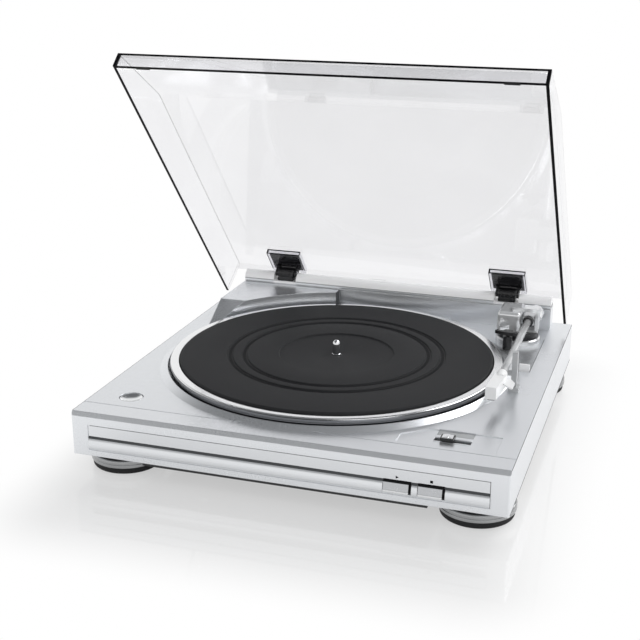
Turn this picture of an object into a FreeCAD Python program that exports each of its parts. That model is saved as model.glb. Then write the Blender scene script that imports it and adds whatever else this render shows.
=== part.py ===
import FreeCAD, Part

import math
import operator
import os

import Sketcher
from FreeCAD import Rotation, Vector

# A belt drive turntable with an automatic tonearm and a hinged clear dust cover, in millimetres.
# X runs to the right, Y to the back and Z up. Places along Y are given from the front face of the
# case, and heights from the top of the deck, unless a comment says otherwise.
DIMENSIONS = {
    # Case
    "case_width": 360,
    "case_depth": 350,
    "case_height": 37.3,
    "case_wall": 2.5,
    "corner_radius": 1.5,
    "bevel_height": 3.6,
    "bevel_depth": 2.5,
    "groove_place": 22,
    "groove_width": 0.6,
    "groove_sink": 0.5,
    "corner_reach": 62,
    "corner_depth": 75,
    "boss_radius": 4.5,
    # Platter well and the collar round it
    "platter_x": -9,
    "platter_place": 176,
    "well_radius": 151,
    "well_depth": 8,
    "collar_foot_radius": 158,
    "collar_height": 3.2,
    "collar_crest": 0.6,
    # Raised back of the case
    "hump_right": 56,
    "hump_depth_low": 114,
    "hump_depth_high": 82,
    "hump_bow_radius": 155,
    "back_wall_depth": 17,
    "back_wall_step": 0.5,
    "back_height": 18,
    # Sunk areas in the deck
    "arm_recess_left": 60,
    "arm_recess_right": 160.5,
    "arm_recess_front": 205,
    "arm_recess_sink": 3,
    "panel_left": 86,
    "panel_right": 163.5,
    "panel_front": 26.5,
    "panel_back": 57.8,
    "panel_bow_radius": 164.3,
    "panel_sink": 0.7,
    "slot_left": 113,
    "slot_right": 142,
    "slot_front": 36,
    "slot_back": 59,
    "slot_sink": 6.5,
    "slit_left": 120.5,
    "slit_right": 138.5,
    # Long insert in the front face
    "front_half_length": 165.5,
    "front_top": 10.3,
    "front_bottom": 32.3,
    "front_sunk": 0.6,
    "front_flange": 1.5,
    "front_flange_reach": 1.8,
    "front_groove_top": 21,
    "front_groove_bottom": 22,
    "front_groove_sink": 1,
    "bar_top": 22.5,
    "bar_bottom": 31,
    "bar_bulge": 1,
    # Hinge rail
    "rail_half_length": 160,
    "rail_foot_height": 0.8,
    "rail_foot_inset": 1.2,
    "rail_band_height": 3,
    "rail_radius": 7.75,
    "rail_gap_half": 12.2,
    # Bottom cover and its screws
    "cover_thickness": 2.5,
    "cover_inset": 1,
    "cover_screw_side": 70,
    "cover_screw_end": 14,
    "cover_screw_flank": 168,
    "screw_radius": 1.5,
    "screw_head_radius": 3,
    "screw_head_height": 1.8,
    "screw_bite": 12,
    # Feet, from the ground up
    "pad_height": 5.5,
    "pad_radius": 29.2,
    "band_height": 7,
    "band_radius": 30.5,
    "neck_height": 5.7,
    "neck_radius": 22,
    "foot_side": 30.5,
    "foot_front": 37,
    "foot_screw_radius": 2,
    "foot_screw_head": 4.5,
    "foot_screw_head_height": 2.2,
    # Spindle and its bearing
    "shaft_radius": 4,
    "shaft_shoulder": 8.8,
    "spindle_radius": 3.6,
    "spindle_top": 21.5,
    "spindle_round": 2.6,
    "bearing_radius": 7,
    "bearing_bottom": 34,
    "bearing_floor": 2,
    "bearing_flange_radius": 13,
    "bearing_flange": 1.5,
    "ball_radius": 3.5,
    # Platter
    "rim_radius": 149,
    "rim_shoulder": 4.2,
    "rim_bottom": 4,
    "rim_inner_radius": 145,
    "lip_height": 8,
    "lip_outer_radius": 147.3,
    "lip_inner_radius": 141.2,
    "web_top": 6.5,
    "web_thickness": 2.5,
    "drum_radius": 88,
    "drum_wall": 2.5,
    "drum_bottom": 5,
    "hub_radius": 11,
    "hub_bottom": 1,
    # Mat
    "mat_radius": 140.2,
    "mat_thickness": 3.2,
    "label_radius": 51.3,
    "label_sink": 1.2,
    "mat_groove_inner": 80.2,
    "mat_groove_middle": 93,
    "mat_groove_width": 5,
    "mat_groove_sink": 1.2,
    # Gears under the platter
    "pinion_pitch_radius": 8,
    "pinion_teeth": 16,
    "gear_thickness": 3,
    "tooth_height": 1.8,
    "tooth_width": 1.4,
    "cam_root_radius": 28.5,
    "cam_teeth": 54,
    "cam_teeth_arc": 318,
    "cam_distance": 38.6,
    "cam_angle": -40,
    "cam_top": 0.4,
    "cam_hub_radius": 6,
    "cam_pin_radius": 2.5,
    # Motor, pulley and belt
    "motor_distance": 112,
    "motor_angle": 150,
    "motor_radius": 17,
    "motor_bottom": 34,
    "motor_plate_radius": 26,
    "motor_plate_thickness": 1.5,
    "grommet_height": 3,
    "grommet_radius": 4.5,
    "motor_screw_circle": 21.5,
    "motor_shaft_radius": 1,
    "pulley_radius": 4,
    "pulley_flange_radius": 5,
    "pulley_flange": 0.8,
    "pulley_top": 0.9,
    "belt_height": 4.5,
    "belt_thickness": 0.6,
    "belt_gap": 0.3,
    # Tonearm base
    "arm_x": 135,
    "arm_place": 297,
    "ring_radius": 21,
    "ring_top": 1.9,
    "ring_bevel": 1,
    "arm_bearing_radius": 8,
    "arm_bearing_bottom": 14,
    "arm_shaft_radius": 4,
    "turret_radius": 19.5,
    "turret_top": 7.2,
    "housing_left": 116,
    "housing_right": 138.6,
    "housing_front": 285,
    "housing_back": 320,
    "housing_top": 27,
    "housing_round": 3.5,
    "yoke_outer": 154.2,
    "yoke_width": 3,
    "yoke_top": 30.4,
    "yoke_roof": 3.4,
    "yoke_lap": 9,
    "yoke_length": 12,
    "yoke_base": 2,
    "drive_lever_length": 32,
    "drive_lever_width": 8,
    "drive_lever_thickness": 2.5,
    "drive_lever_drop": 3,
    # Tonearm
    "pivot_place": 298,
    "pivot_height": 19,
    "pivot_pin_radius": 1.5,
    "tube_x": 145.1,
    "tube_radius": 3.15,
    "tube_yaw": 0.8,
    "tube_rise": 0.7,
    "tube_front": 134,
    "tube_back": 326,
    "block_half_width": 5.1,
    "block_half_length": 6.5,
    "block_half_height": 4.5,
    "tube_collar_radius": 5,
    "tube_collar_length": 6,
    "weight_front": 306,
    "weight_length": 20,
    "weight_radius": 7.6,
    "weight_shift": 2.2,
    "weight_drop": 2.4,
    # Headshell, cartridge and finger lift
    "shell_back": 132,
    "shell_length": 33.5,
    "shell_back_half": 5.05,
    "shell_front_half": 4.5,
    "shell_toe": 2.3,
    "shell_top": 24,
    "shell_bottom": 13.6,
    "shell_wall": 1.3,
    "shell_roof": 2.4,
    "shell_socket": 4,
    "shell_neck_radius": 4.2,
    "cartridge_length": 24,
    "cartridge_bottom": 12.5,
    "stylus_tip": 11.7,
    "stylus_place": 104,
    "stylus_width": 1.2,
    "finger_reach": 8,
    "finger_thickness": 1.2,
    "finger_height": 19,
    # Arm rest
    "rest_place": 155,
    "rest_length": 6,
    "rest_post_left": 152.5,
    "rest_post_width": 4.5,
    "rest_top": 35,
    "rest_seat_reach": 10.5,
    "rest_seat_thickness": 3,
    "rest_foot_margin": 2,
    "rest_foot_height": 4,
    # Lifter and cue lever
    "lifter_x": 130,
    "lifter_place": 268,
    "bush_radius": 4.5,
    "bush_top": 10,
    "stem_radius": 2,
    "stem_bottom": 14,
    "lifter_arc_radius": 37.5,
    "lifter_arc_width": 4.5,
    "lifter_arc_thickness": 3,
    "lifter_hub_radius": 4.8,
    "lifter_hub_drop": 1.2,
    "lifter_arc_right": 24,
    "lifter_arc_left": 26,
    "cue_left": 151,
    "cue_width": 9.2,
    "cue_place": 208,
    "cue_pin_depth": 1.3,
    "cue_pin_radius": 0.9,
    "cue_hub_radius": 1.4,
    "cue_tab_thickness": 2,
    "cue_tab_top": 6,
    "cue_ear_width": 2.5,
    # Push buttons
    "start_left": 84,
    "start_width": 21.3,
    "stop_left": 111,
    "stop_width": 20.1,
    "button_top": 20.3,
    "button_height": 9.1,
    "button_proud": 1,
    "button_crown": 2.2,
    "button_back": 9,
    "button_flange_place": 4.6,
    "button_flange": 1.4,
    "button_flange_reach": 1.3,
    "button_travel": 2,
    "board_thickness": 1.6,
    "switch_depth": 4.6,
    "speed_x": -146.9,
    "speed_place": 42.7,
    "speed_recess_radius": 10.15,
    "speed_recess_sink": 10,
    "speed_button_radius": 9.75,
    "speed_button_sunk": 0.3,
    "speed_button_thickness": 2.5,
    "speed_dish": 1,
    "speed_stem_radius": 2.5,
    "speed_switch_width": 13,
    "speed_switch_height": 7,
    # Record size lever
    "size_knob_left": 118,
    "size_knob_width": 11,
    "size_knob_front": 36.5,
    "size_knob_length": 10,
    "size_knob_top": 3,
    "size_stem_width": 4,
    "size_stem_length": 2,
    "size_plate_thickness": 1.5,
    # Electronics
    "servo_left": -70,
    "servo_width": 100,
    "servo_place": 30,
    "servo_depth": 60,
    "phono_left": 40,
    "phono_width": 60,
    "phono_place": 285,
    "phono_depth": 45,
    "chip_height": 4,
    "standoff_height": 3.3,
    "standoff_radius": 3,
    "transformer_left": -112,
    "transformer_width": 42,
    "transformer_place": 292,
    "transformer_depth": 34,
    "transformer_height": 20,
    "core_overhang": 4,
    "gland_radius": 5,
    "gland_bore": 3,
    "gland_flange": 2,
    "gland_lip": 2.5,
    "gland_drop": 20,
    "power_gland_x": -90,
    "signal_gland_x": 70,
    # Dust cover, in its closed place
    "lid_open": 48.8,
    "lid_side_gap": 3,
    "lid_wall": 2.5,
    "lid_front": 2,
    "lid_rim_gap": 1,
    "lid_front_height": 15,
    "lid_slope_back": 81,
    "lid_top": 41.5,
    "lid_overhang": 1.5,
    "lid_foot_inset": 6,
    "lid_back_edge": 32.5,
    "lid_notch_middle": -20,
    "lid_notch_width": 16,
    "lid_notch_depth": 2,
    "bumper_x": 150,
    "bumper_length": 12,
    "bumper_thickness": 0.7,
    # Lid hinges
    "hinge_x": 116,
    "hinge_inset": 8,
    "hinge_height": 28,
    "hinge_pin_radius": 2,
    "hinge_pin_half": 11.7,
    "knuckle_inner": 9,
    "knuckle_outer": 11.5,
    "knuckle_radius": 4,
    "leaf_half_width": 15.5,
    "leaf_ahead": 22,
    "leaf_behind": 4,
    "leaf_bottom": 35,
    "leaf_thickness": 2.4,
    "socket_half_width": 18,
    "socket_ahead": 26,
    "socket_wall": 1.2,
    "base_half_width": 8.6,
    "base_half_depth": 6,
    "base_barrel_radius": 6,
    "spring_half_length": 4,
    "spring_radius": 4.2,
    "spring_wire": 1.4,
    # Clearances
    "running_gap": 0.05,
    "seat_gap": 0.3,
    "loose_gap": 0.4,
}

OPERATORS = {"+": operator.add, "-": operator.sub, "*": operator.mul, "/": operator.truediv}

doc = FreeCAD.newDocument("turntable")
sheet = doc.addObject("Spreadsheet::Sheet", "sizes")


class Size:
    """A length or an angle: the expression that ties it to the sheet, and its present number."""

    def __init__(self, text, number):
        self.text = text
        self.number = number

    def __add__(self, other):
        return combined(self, "+", other)

    def __radd__(self, other):
        return combined(other, "+", self)

    def __sub__(self, other):
        return combined(self, "-", other)

    def __rsub__(self, other):
        return combined(other, "-", self)

    def __mul__(self, other):
        return combined(self, "*", other)

    def __rmul__(self, other):
        return combined(other, "*", self)

    def __truediv__(self, other):
        return combined(self, "/", other)

    def __neg__(self):
        return combined(0, "-", self)


class Sheet:
    """The named sizes, each one read from its cell."""


def as_size(value):
    if isinstance(value, Size):
        return value
    return Size(str(value), float(value))


def combined(left, sign, right):
    left = as_size(left)
    right = as_size(right)
    number = OPERATORS[sign](left.number, right.number)
    return Size("(%s %s %s)" % (left.text, sign, right.text), number)


def cosine(angle):
    return Size("cos(%s)" % angle.text, math.cos(math.radians(angle.number)))


def sine(angle):
    return Size("sin(%s)" % angle.text, math.sin(math.radians(angle.number)))


def tangent(angle):
    return Size("tan(%s)" % angle.text, math.tan(math.radians(angle.number)))


def fill_sheet():
    """Writes each dimension and its alias into the sheet, and gives them as sizes."""
    named = Sheet()
    for row, (name, number) in enumerate(DIMENSIONS.items(), 1):
        sheet.set("A%d" % row, name)
        sheet.set("B%d" % row, str(number))
        sheet.setAlias("B%d" % row, name)
        setattr(named, name, Size("sizes." + name, float(number)))
    doc.recompute()
    return named


S = fill_sheet()

half_width = S.case_width / 2
back_wall_front = S.case_depth - S.back_wall_depth
hinge_place = S.case_depth - S.hinge_inset
lid_back = S.case_depth + S.lid_overhang
lid_half_width = half_width - S.lid_side_gap

# The origin lies on the ground, in the middle of the box round the part with its cover open.
reach_back = (
    hinge_place
    + (lid_back - hinge_place) * cosine(S.lid_open)
    + (S.lid_top - S.hinge_height) * sine(S.lid_open)
)
front = (S.button_proud - reach_back) / 2
floor = S.pad_height + S.band_height + S.neck_height
deck = floor + S.case_height


def fy(place):
    """A place along Y, given from the front face of the case."""
    return front + place


def dz(height):
    """A height, given from the top of the deck."""
    return deck + height


def bind(item, place, value):
    item.setExpression(place, as_size(value).text)


def move(item, x, y, z):
    bind(item, "Placement.Base.x", x)
    bind(item, "Placement.Base.y", y)
    bind(item, "Placement.Base.z", z)


def block(name, x, y, z):
    """A box between pairs of X, Y and Z."""
    solid = doc.addObject("Part::Box", name)
    bind(solid, "Length", x[1] - x[0])
    bind(solid, "Width", y[1] - y[0])
    bind(solid, "Height", z[1] - z[0])
    move(solid, x[0], y[0], z[0])
    return solid


def column(name, centre, z, radius):
    """An upright cylinder."""
    solid = doc.addObject("Part::Cylinder", name)
    bind(solid, "Radius", radius)
    bind(solid, "Height", z[1] - z[0])
    move(solid, centre[0], centre[1], z[0])
    return solid


def rod_x(name, x, centre, radius):
    """A cylinder along X through a place in Y and Z."""
    solid = doc.addObject("Part::Cylinder", name)
    solid.Placement.Rotation = Rotation(Vector(0, 1, 0), 90)
    bind(solid, "Radius", radius)
    bind(solid, "Height", x[1] - x[0])
    move(solid, x[0], centre[0], centre[1])
    return solid


def rod_y(name, y, centre, radius):
    """A cylinder along Y through a place in X and Z."""
    solid = doc.addObject("Part::Cylinder", name)
    solid.Placement.Rotation = Rotation(Vector(1, 0, 0), -90)
    bind(solid, "Radius", radius)
    bind(solid, "Height", y[1] - y[0])
    move(solid, centre[0], y[0], centre[1])
    return solid


def cone(name, centre, z, bottom_radius, top_radius):
    solid = doc.addObject("Part::Cone", name)
    bind(solid, "Radius1", bottom_radius)
    bind(solid, "Radius2", top_radius)
    bind(solid, "Height", z[1] - z[0])
    move(solid, centre[0], centre[1], z[0])
    return solid


def outline(body, role, corners):
    """A closed outline of straight lines in one of the body's planes, each corner tied to sizes."""
    plane = [item for item in body.Origin.OriginFeatures if item.Role == role][0]
    sketch = body.newObject("Sketcher::SketchObject", body.Name + "_outline")
    sketch.AttachmentSupport = [(plane, "")]
    sketch.MapMode = "FlatFace"
    corners = [(as_size(across), as_size(up)) for across, up in corners]
    points = [Vector(across.number, up.number, 0) for across, up in corners]
    for index, point in enumerate(points):
        sketch.addGeometry(Part.LineSegment(point, points[(index + 1) % len(points)]))
    for index in range(len(points)):
        following = (index + 1) % len(points)
        sketch.addConstraint(Sketcher.Constraint("Coincident", index, 2, following, 1))
    for index, corner in enumerate(corners):
        for kind, place in zip(("DistanceX", "DistanceY"), corner):
            held = sketch.addConstraint(Sketcher.Constraint(kind, -1, 1, index, 1, place.number))
            sketch.setExpression("Constraints[%d]" % held, place.text)
    return sketch


def turned(name, centre, profile):
    """A solid turned round an upright axis. The profile's corners are radius and height."""
    body = doc.addObject("PartDesign::Body", name)
    sketch = outline(body, "XZ_Plane", profile)
    turn = body.newObject("PartDesign::Revolution", name + "_turn")
    turn.Profile = sketch
    turn.ReferenceAxis = (sketch, ["V_Axis"])
    turn.Angle = 360
    move(body, centre[0], centre[1], 0)
    return body


def padded(name, role, corners, span):
    """An outline in the XY or YZ plane, padded between two places along the plane's normal."""
    body = doc.addObject("PartDesign::Body", name)
    pad = body.newObject("PartDesign::Pad", name + "_pad")
    pad.Profile = outline(body, role, corners)
    bind(pad, "Length", span[1] - span[0])
    side = {"XY_Plane": "z", "YZ_Plane": "x"}[role]
    bind(body, "Placement.Base." + side, span[0])
    return body


def rounded(body, radius, chosen):
    """Rounds those edges of a body that the rule picks."""
    doc.recompute()
    base = body.Tip
    edges = base.Shape.Edges
    picked = ["Edge%d" % number for number, edge in enumerate(edges, 1) if chosen(edge)]
    fillet = body.newObject("PartDesign::Fillet", body.Name + "_round")
    fillet.Base = (base, picked)
    bind(fillet, "Radius", radius)
    return body


def fused(name, solids):
    union = doc.addObject("Part::MultiFuse", name)
    union.Shapes = solids
    return union


def group(name, solids):
    """Separate solids of one node."""
    together = doc.addObject("Part::Compound", name)
    together.Links = solids
    return together


def cut(name, base, tool):
    result = doc.addObject("Part::Cut", name)
    result.Base = base
    result.Tool = tool
    return result


def common(name, first, second):
    result = doc.addObject("Part::Common", name)
    result.Base = first
    result.Tool = second
    return result


def upright(edge):
    box = edge.BoundBox
    return box.XLength < 0.01 and box.YLength < 0.01


platter = (S.platter_x, fy(S.platter_place))
arm = (S.arm_x, fy(S.arm_place))
cam = (
    platter[0] + S.cam_distance * cosine(S.cam_angle),
    platter[1] + S.cam_distance * sine(S.cam_angle),
)
motor = (
    platter[0] + S.motor_distance * cosine(S.motor_angle),
    platter[1] + S.motor_distance * sine(S.motor_angle),
)
lifter = (S.lifter_x, fy(S.lifter_place))
speed = (S.speed_x, fy(S.speed_place))
well_floor = dz(-S.well_depth)
well_under = well_floor - S.case_wall
back_top = dz(S.back_height)
recess_floor = dz(-S.arm_recess_sink)
recess_under = recess_floor - S.case_wall
pulley_hole = S.pulley_flange_radius + 2 * S.loose_gap

feet = [
    (side * (half_width - S.foot_side), fy(place))
    for place in (S.foot_front, S.case_depth - S.foot_front)
    for side in (-1, 1)
]
cover_screws = [
    (side * S.cover_screw_side, fy(place))
    for place in (S.cover_screw_end, S.case_depth - S.cover_screw_end)
    for side in (-1, 1)
] + [(side * S.cover_screw_flank, fy(S.case_depth / 2)) for side in (-1, 1)]
motor_screws = [
    (
        motor[0] + S.motor_screw_circle * cosine(as_size(angle)),
        motor[1] + S.motor_screw_circle * sine(as_size(angle)),
    )
    for angle in (30, 150, 270)
]


def case_body():
    """The outer block of the case, with the bevel along the top of its front face."""
    corners = [
        (fy(0), floor),
        (fy(0), dz(-S.bevel_height)),
        (fy(S.bevel_depth), deck),
        (fy(S.case_depth), deck),
        (fy(S.case_depth), floor),
    ]
    body = padded("case_body", "YZ_Plane", corners, (-half_width, half_width))
    return rounded(body, S.corner_radius, upright)


def hump(name, inset):
    """The raised part at the back left, its front slanted, its side hollowed round the platter."""
    corners = [
        (fy(S.case_depth - S.hump_depth_low) + inset, deck - inset),
        (fy(S.case_depth - S.hump_depth_high) + inset, back_top - inset),
        (fy(S.case_depth) - inset, back_top - inset),
        (fy(S.case_depth) - inset, deck - inset),
    ]
    body = padded(name + "_block", "YZ_Plane", corners, (inset - S.rail_half_length, -S.hump_right - inset))
    tall = (dz(-S.case_depth), dz(S.case_depth))
    hollow = column(name + "_bow", platter, tall, S.hump_bow_radius + inset)
    return cut(name, body, hollow)


def back_wall(name, inset):
    """The upright wall behind the platter and the tonearm."""
    x = (inset - S.hump_right, S.rail_half_length + S.back_wall_step - inset)
    y = (fy(back_wall_front) + inset, fy(S.case_depth) - inset)
    return block(name, x, y, (deck - inset, back_top - inset))


def collar_slope(name):
    """The low cone round the platter well, which the housing behind is cut to sit on."""
    return cone(name, platter, (deck, dz(S.collar_height)),
                S.collar_foot_radius, S.well_radius + S.collar_crest)


def rear_housing():
    """The hollow moulding on the back of the deck: the hump, and the wall under the rail."""
    whole = as_size(0)
    outside = fused("housing_outside", [hump("hump", whole), back_wall("back_wall", whole)])
    inside = fused("housing_inside", [
        hump("hump_hollow", S.case_wall),
        back_wall("wall_hollow", S.case_wall),
        collar_slope("housing_foot"),
    ])
    return cut("rear_housing", outside, inside)


def corner_floors():
    """The case closes itself under each corner, where a foot is screwed on."""
    floors = []
    for number, side in enumerate((-1, 1)):
        inner = side * (half_width - S.corner_reach)
        outer = side * (half_width - S.corner_radius)
        x = (outer, inner) if side < 0 else (inner, outer)
        front_y = (fy(S.corner_radius), fy(S.corner_depth))
        back_y = (fy(S.case_depth - S.corner_depth), fy(S.case_depth - S.corner_radius))
        for where, y in (("front", front_y), ("rear", back_y)):
            name = "corner_floor_%s_%d" % (where, number)
            floors.append(block(name, x, y, (floor, floor + S.case_wall)))
    return floors


def top_case():
    """The main moulding: deck, walls, platter well, collar, arm recess and bosses."""
    shell = cut(
        "case_shell",
        case_body(),
        block(
            "case_hollow",
            (S.case_wall - half_width, half_width - S.case_wall),
            (fy(S.case_wall), fy(S.case_depth - S.case_wall)),
            (floor - S.case_wall, dz(-S.case_wall)),
        ),
    )
    tray = block(
        "arm_tray",
        (S.arm_recess_left - S.case_wall, S.arm_recess_right + S.case_wall),
        (fy(S.arm_recess_front - S.case_wall), fy(back_wall_front + S.case_wall)),
        (recess_under, dz(-S.case_wall)),
    )
    slot_tray = block(
        "slot_tray",
        (S.slot_left - S.case_wall, S.slot_right + S.case_wall),
        (fy(S.slot_front - S.case_wall), fy(S.slot_back + S.case_wall)),
        (dz(-S.slot_sink) - S.case_wall, dz(-S.case_wall)),
    )
    speed_cup = column(
        "speed_cup",
        speed,
        (dz(-S.speed_recess_sink) - S.case_wall, dz(-S.case_wall)),
        S.speed_recess_radius + S.case_wall,
    )
    well_drum = column("well_drum", platter, (well_under, deck), S.well_radius + S.case_wall)
    ear = block(
        "cue_ear",
        (S.cue_left - S.seat_gap - S.cue_ear_width, S.cue_left - S.seat_gap),
        (fy(S.cue_place - S.cue_ear_width), fy(S.cue_place + S.cue_ear_width)),
        (recess_under, deck),
    )
    screw_top = floor + S.screw_bite + S.case_wall
    bosses = [
        column("cover_boss_%d" % number, place, (floor, dz(-S.case_wall)), S.boss_radius)
        for number, place in enumerate(cover_screws)
    ]
    foot_bosses = [
        column("foot_boss_%d" % number, place, (floor, screw_top), S.boss_radius)
        for number, place in enumerate(feet)
    ]
    collar = collar_slope("collar")
    added = [shell, tray, slot_tray, speed_cup, well_drum, collar] + bosses + foot_bosses
    solid = fused("case_added", added + corner_floors())
    arm_sink = cut(
        "arm_sink",
        block(
            "arm_sink_block",
            (S.arm_recess_left, S.arm_recess_right),
            (fy(S.arm_recess_front), fy(back_wall_front)),
            (recess_floor, deck),
        ),
        column("arm_sink_bow", platter, (recess_under, dz(S.case_wall)), S.collar_foot_radius),
    )
    panel_sink = cut(
        "panel_sink",
        block(
            "panel_sink_block",
            (S.panel_left, S.panel_right),
            (fy(S.panel_front), fy(S.panel_back)),
            (dz(-S.panel_sink), dz(S.panel_sink)),
        ),
        column("panel_sink_bow", platter, (dz(-S.case_wall), dz(S.case_wall)), S.panel_bow_radius),
    )
    screw_ends = (floor - S.cover_thickness, screw_top - S.case_wall)
    removed = [
        arm_sink,
        panel_sink,
        column("well_sink", platter, (well_floor, dz(2 * S.collar_height)), S.well_radius),
        block("deck_groove", (-S.case_width, S.case_width),
              (fy(S.groove_place), fy(S.groove_place + S.groove_width)),
              (dz(-S.groove_sink), dz(S.groove_sink))),
        block("slot_sink_block", (S.slot_left, S.slot_right), (fy(S.slot_front), fy(S.slot_back)),
              (dz(-S.slot_sink), dz(S.slot_sink))),
        block("slot_slit", (S.slit_left, S.slit_right),
              (size_stem_y[0] - S.loose_gap, size_stem_y[1] + S.loose_gap),
              (dz(-2 * S.slot_sink), dz(-S.slot_sink / 2))),
        block("front_window", (-S.front_half_length, S.front_half_length),
              (fy(-S.case_wall), fy(2 * S.case_wall)), (dz(-S.front_bottom), dz(-S.front_top))),
        column("speed_sink", speed, (dz(-S.speed_recess_sink), dz(S.case_wall)), S.speed_recess_radius),
        column("speed_hole", speed, (dz(-S.speed_recess_sink) - 2 * S.case_wall, deck),
               S.speed_stem_radius + S.running_gap),
        column("bearing_hole", platter, (well_under - S.case_wall, deck),
               S.bearing_radius + S.running_gap),
        column("pulley_hole", motor, (well_under - S.case_wall, deck), pulley_hole),
        column("arm_hole", arm, (recess_under - S.case_wall, deck),
               S.arm_bearing_radius + S.running_gap),
        column("lifter_hole", lifter, (recess_under - S.case_wall, deck), S.bush_radius + S.running_gap),
    ]
    removed += [
        column("cover_pilot_%d" % number, place, screw_ends, S.screw_radius + S.running_gap)
        for number, place in enumerate(cover_screws)
    ]
    removed += [
        column("foot_pilot_%d" % number, place, screw_ends, S.foot_screw_radius + S.running_gap)
        for number, place in enumerate(feet)
    ]
    removed += [
        column("motor_pilot_%d" % number, place, (well_under - S.case_wall, well_floor - S.seat_gap),
               S.screw_radius + S.running_gap)
        for number, place in enumerate(motor_screws)
    ]
    removed += [
        rod_y("%s_hole" % name, (fy(S.case_depth - 2 * S.case_wall), fy(S.case_depth + S.case_wall)),
              (x, dz(-S.gland_drop)), S.gland_radius + S.running_gap)
        for name, x in (("power_gland", S.power_gland_x), ("signal_gland", S.signal_gland_x))
    ]
    carved = cut("case_carved", solid, fused("case_removed", removed))
    pin = column("cam_pin", cam, (well_floor, cam_top - S.seat_gap), S.cam_pin_radius)
    cue_bore = rod_x("cue_bore", (S.cue_left - 2 * S.cue_ear_width, cue_pin_end + S.seat_gap),
                     (fy(S.cue_place), dz(-S.cue_pin_depth)), S.cue_pin_radius + S.running_gap)
    return cut("top_case", fused("case_pinned", [carved, pin, ear]), cue_bore)


def bulged_bar(name, x, z, crest, bulge):
    """The cylinder along X whose front, as high as the pair z, bulges to a crest along Y."""
    radius = ((z[1] - z[0]) * (z[1] - z[0]) / 4 + bulge * bulge) / (2 * bulge)
    return rod_x(name + "_round", x, (crest + radius, (z[0] + z[1]) / 2), radius)


def key_places():
    """The two keys in the front panel: name, left end and width."""
    return (("start", S.start_left, S.start_width), ("stop", S.stop_left, S.stop_width))


def front_panel():
    """The bare strip and half-round bar let into the front face, with a window for each button."""
    z = (dz(-S.front_bottom), dz(-S.front_top))
    length = (-S.front_half_length, S.front_half_length)
    back = fy(S.case_wall)
    plate = block("front_strip", length, (fy(S.front_sunk), back), z)
    reach = S.front_flange_reach
    flange = block("front_flange", (length[0] - reach, length[1] + reach),
                   (back, back + S.front_flange), (z[0] - reach, z[1] + reach))
    bar_z = (dz(-S.bar_bottom), dz(-S.bar_top))
    rod = bulged_bar("front_bar", length, bar_z, fy(0), S.bar_bulge)
    bar = common("front_bar", rod, block("front_bar_zone", length, (fy(-S.bar_bulge), back), bar_z))
    groove = block("front_groove", (-S.case_width, S.case_width),
                   (fy(-S.bar_bulge), fy(S.front_sunk + S.front_groove_sink)),
                   (dz(-S.front_groove_bottom), dz(-S.front_groove_top)))
    windows = []
    for name, left, width in key_places():
        windows.append(block(name + "_window", (left - S.loose_gap, left + width + S.loose_gap),
                             (fy(-S.bar_bulge), fy(3 * S.case_wall)),
                             (dz(-S.button_top - S.button_height) - S.loose_gap,
                              dz(-S.button_top) + S.loose_gap)))
    return cut("front_panel", fused("front_whole", [plate, flange, bar]),
               fused("front_cuts", [groove] + windows))


def hinge_rail():
    """The half-round rail on the back wall, with a gap for each hinge base."""
    x = (-S.rail_half_length, S.rail_half_length)
    middle = fy(hinge_place)
    half = S.rail_radius
    foot = block("rail_foot", x, (middle - half + S.rail_foot_inset, middle + half - S.rail_foot_inset),
                 (back_top, back_top + S.rail_foot_height))
    band_top = back_top + S.rail_band_height
    band = block("rail_band", x, (middle - half, middle + half),
                 (back_top + S.rail_foot_height, band_top))
    crown = common("rail_crown", rod_x("rail_rod", x, (middle, band_top), half),
                   block("rail_zone", x, (middle - half, middle + half), (band_top, band_top + half)))
    gaps = [
        block("rail_gap_%s" % name, (side * S.hinge_x - S.rail_gap_half, side * S.hinge_x + S.rail_gap_half),
              (middle - 2 * half, middle + 2 * half), (band_top, band_top + 2 * half))
        for name, side in (("left", -1), ("right", 1))
    ]
    return cut("hinge_rail", fused("rail_whole", [foot, band, crown]), fused("rail_gaps", gaps))


def bottom_cover():
    """The flat cover under the case, notched at its corners, with standoffs for the boards."""
    edge = half_width - S.cover_inset
    z = (floor - S.cover_thickness, floor)
    plate = block("cover_plate", (-edge, edge), (fy(S.cover_inset), fy(S.case_depth - S.cover_inset)), z)
    inner = half_width - S.corner_reach
    notches = []
    for side, x in (("left", (-S.case_width, -inner)), ("right", (inner, S.case_width))):
        for end, y in (("front", (fy(-S.case_wall), fy(S.corner_depth))),
                       ("rear", (fy(S.case_depth - S.corner_depth), fy(S.case_depth + S.case_wall)))):
            notches.append(block("cover_notch_%s_%s" % (side, end), x, y,
                                 (z[0] - S.case_wall, z[1] + S.case_wall)))
    holes = [
        column("cover_hole_%d" % number, place, (z[0] - S.case_wall, z[1] + S.case_wall),
               S.screw_radius + S.running_gap)
        for number, place in enumerate(cover_screws)
    ]
    standoffs = []
    for name, left, width, place, depth in boards():
        for number in range(4):
            x = left + S.standoff_radius + (number % 2) * (width - 2 * S.standoff_radius)
            y = fy(place) + S.standoff_radius + (number // 2) * (depth - 2 * S.standoff_radius)
            standoffs.append(column("%s_standoff_%d" % (name, number), (x, y),
                                    (floor, floor + S.standoff_height), S.standoff_radius))
    return cut("bottom_cover", fused("cover_whole", [plate] + standoffs),
               fused("cover_cuts", notches + holes))


def boards():
    return (
        ("servo", S.servo_left, S.servo_width, S.servo_place, S.servo_depth),
        ("phono", S.phono_left, S.phono_width, S.phono_place, S.phono_depth),
    )


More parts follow.
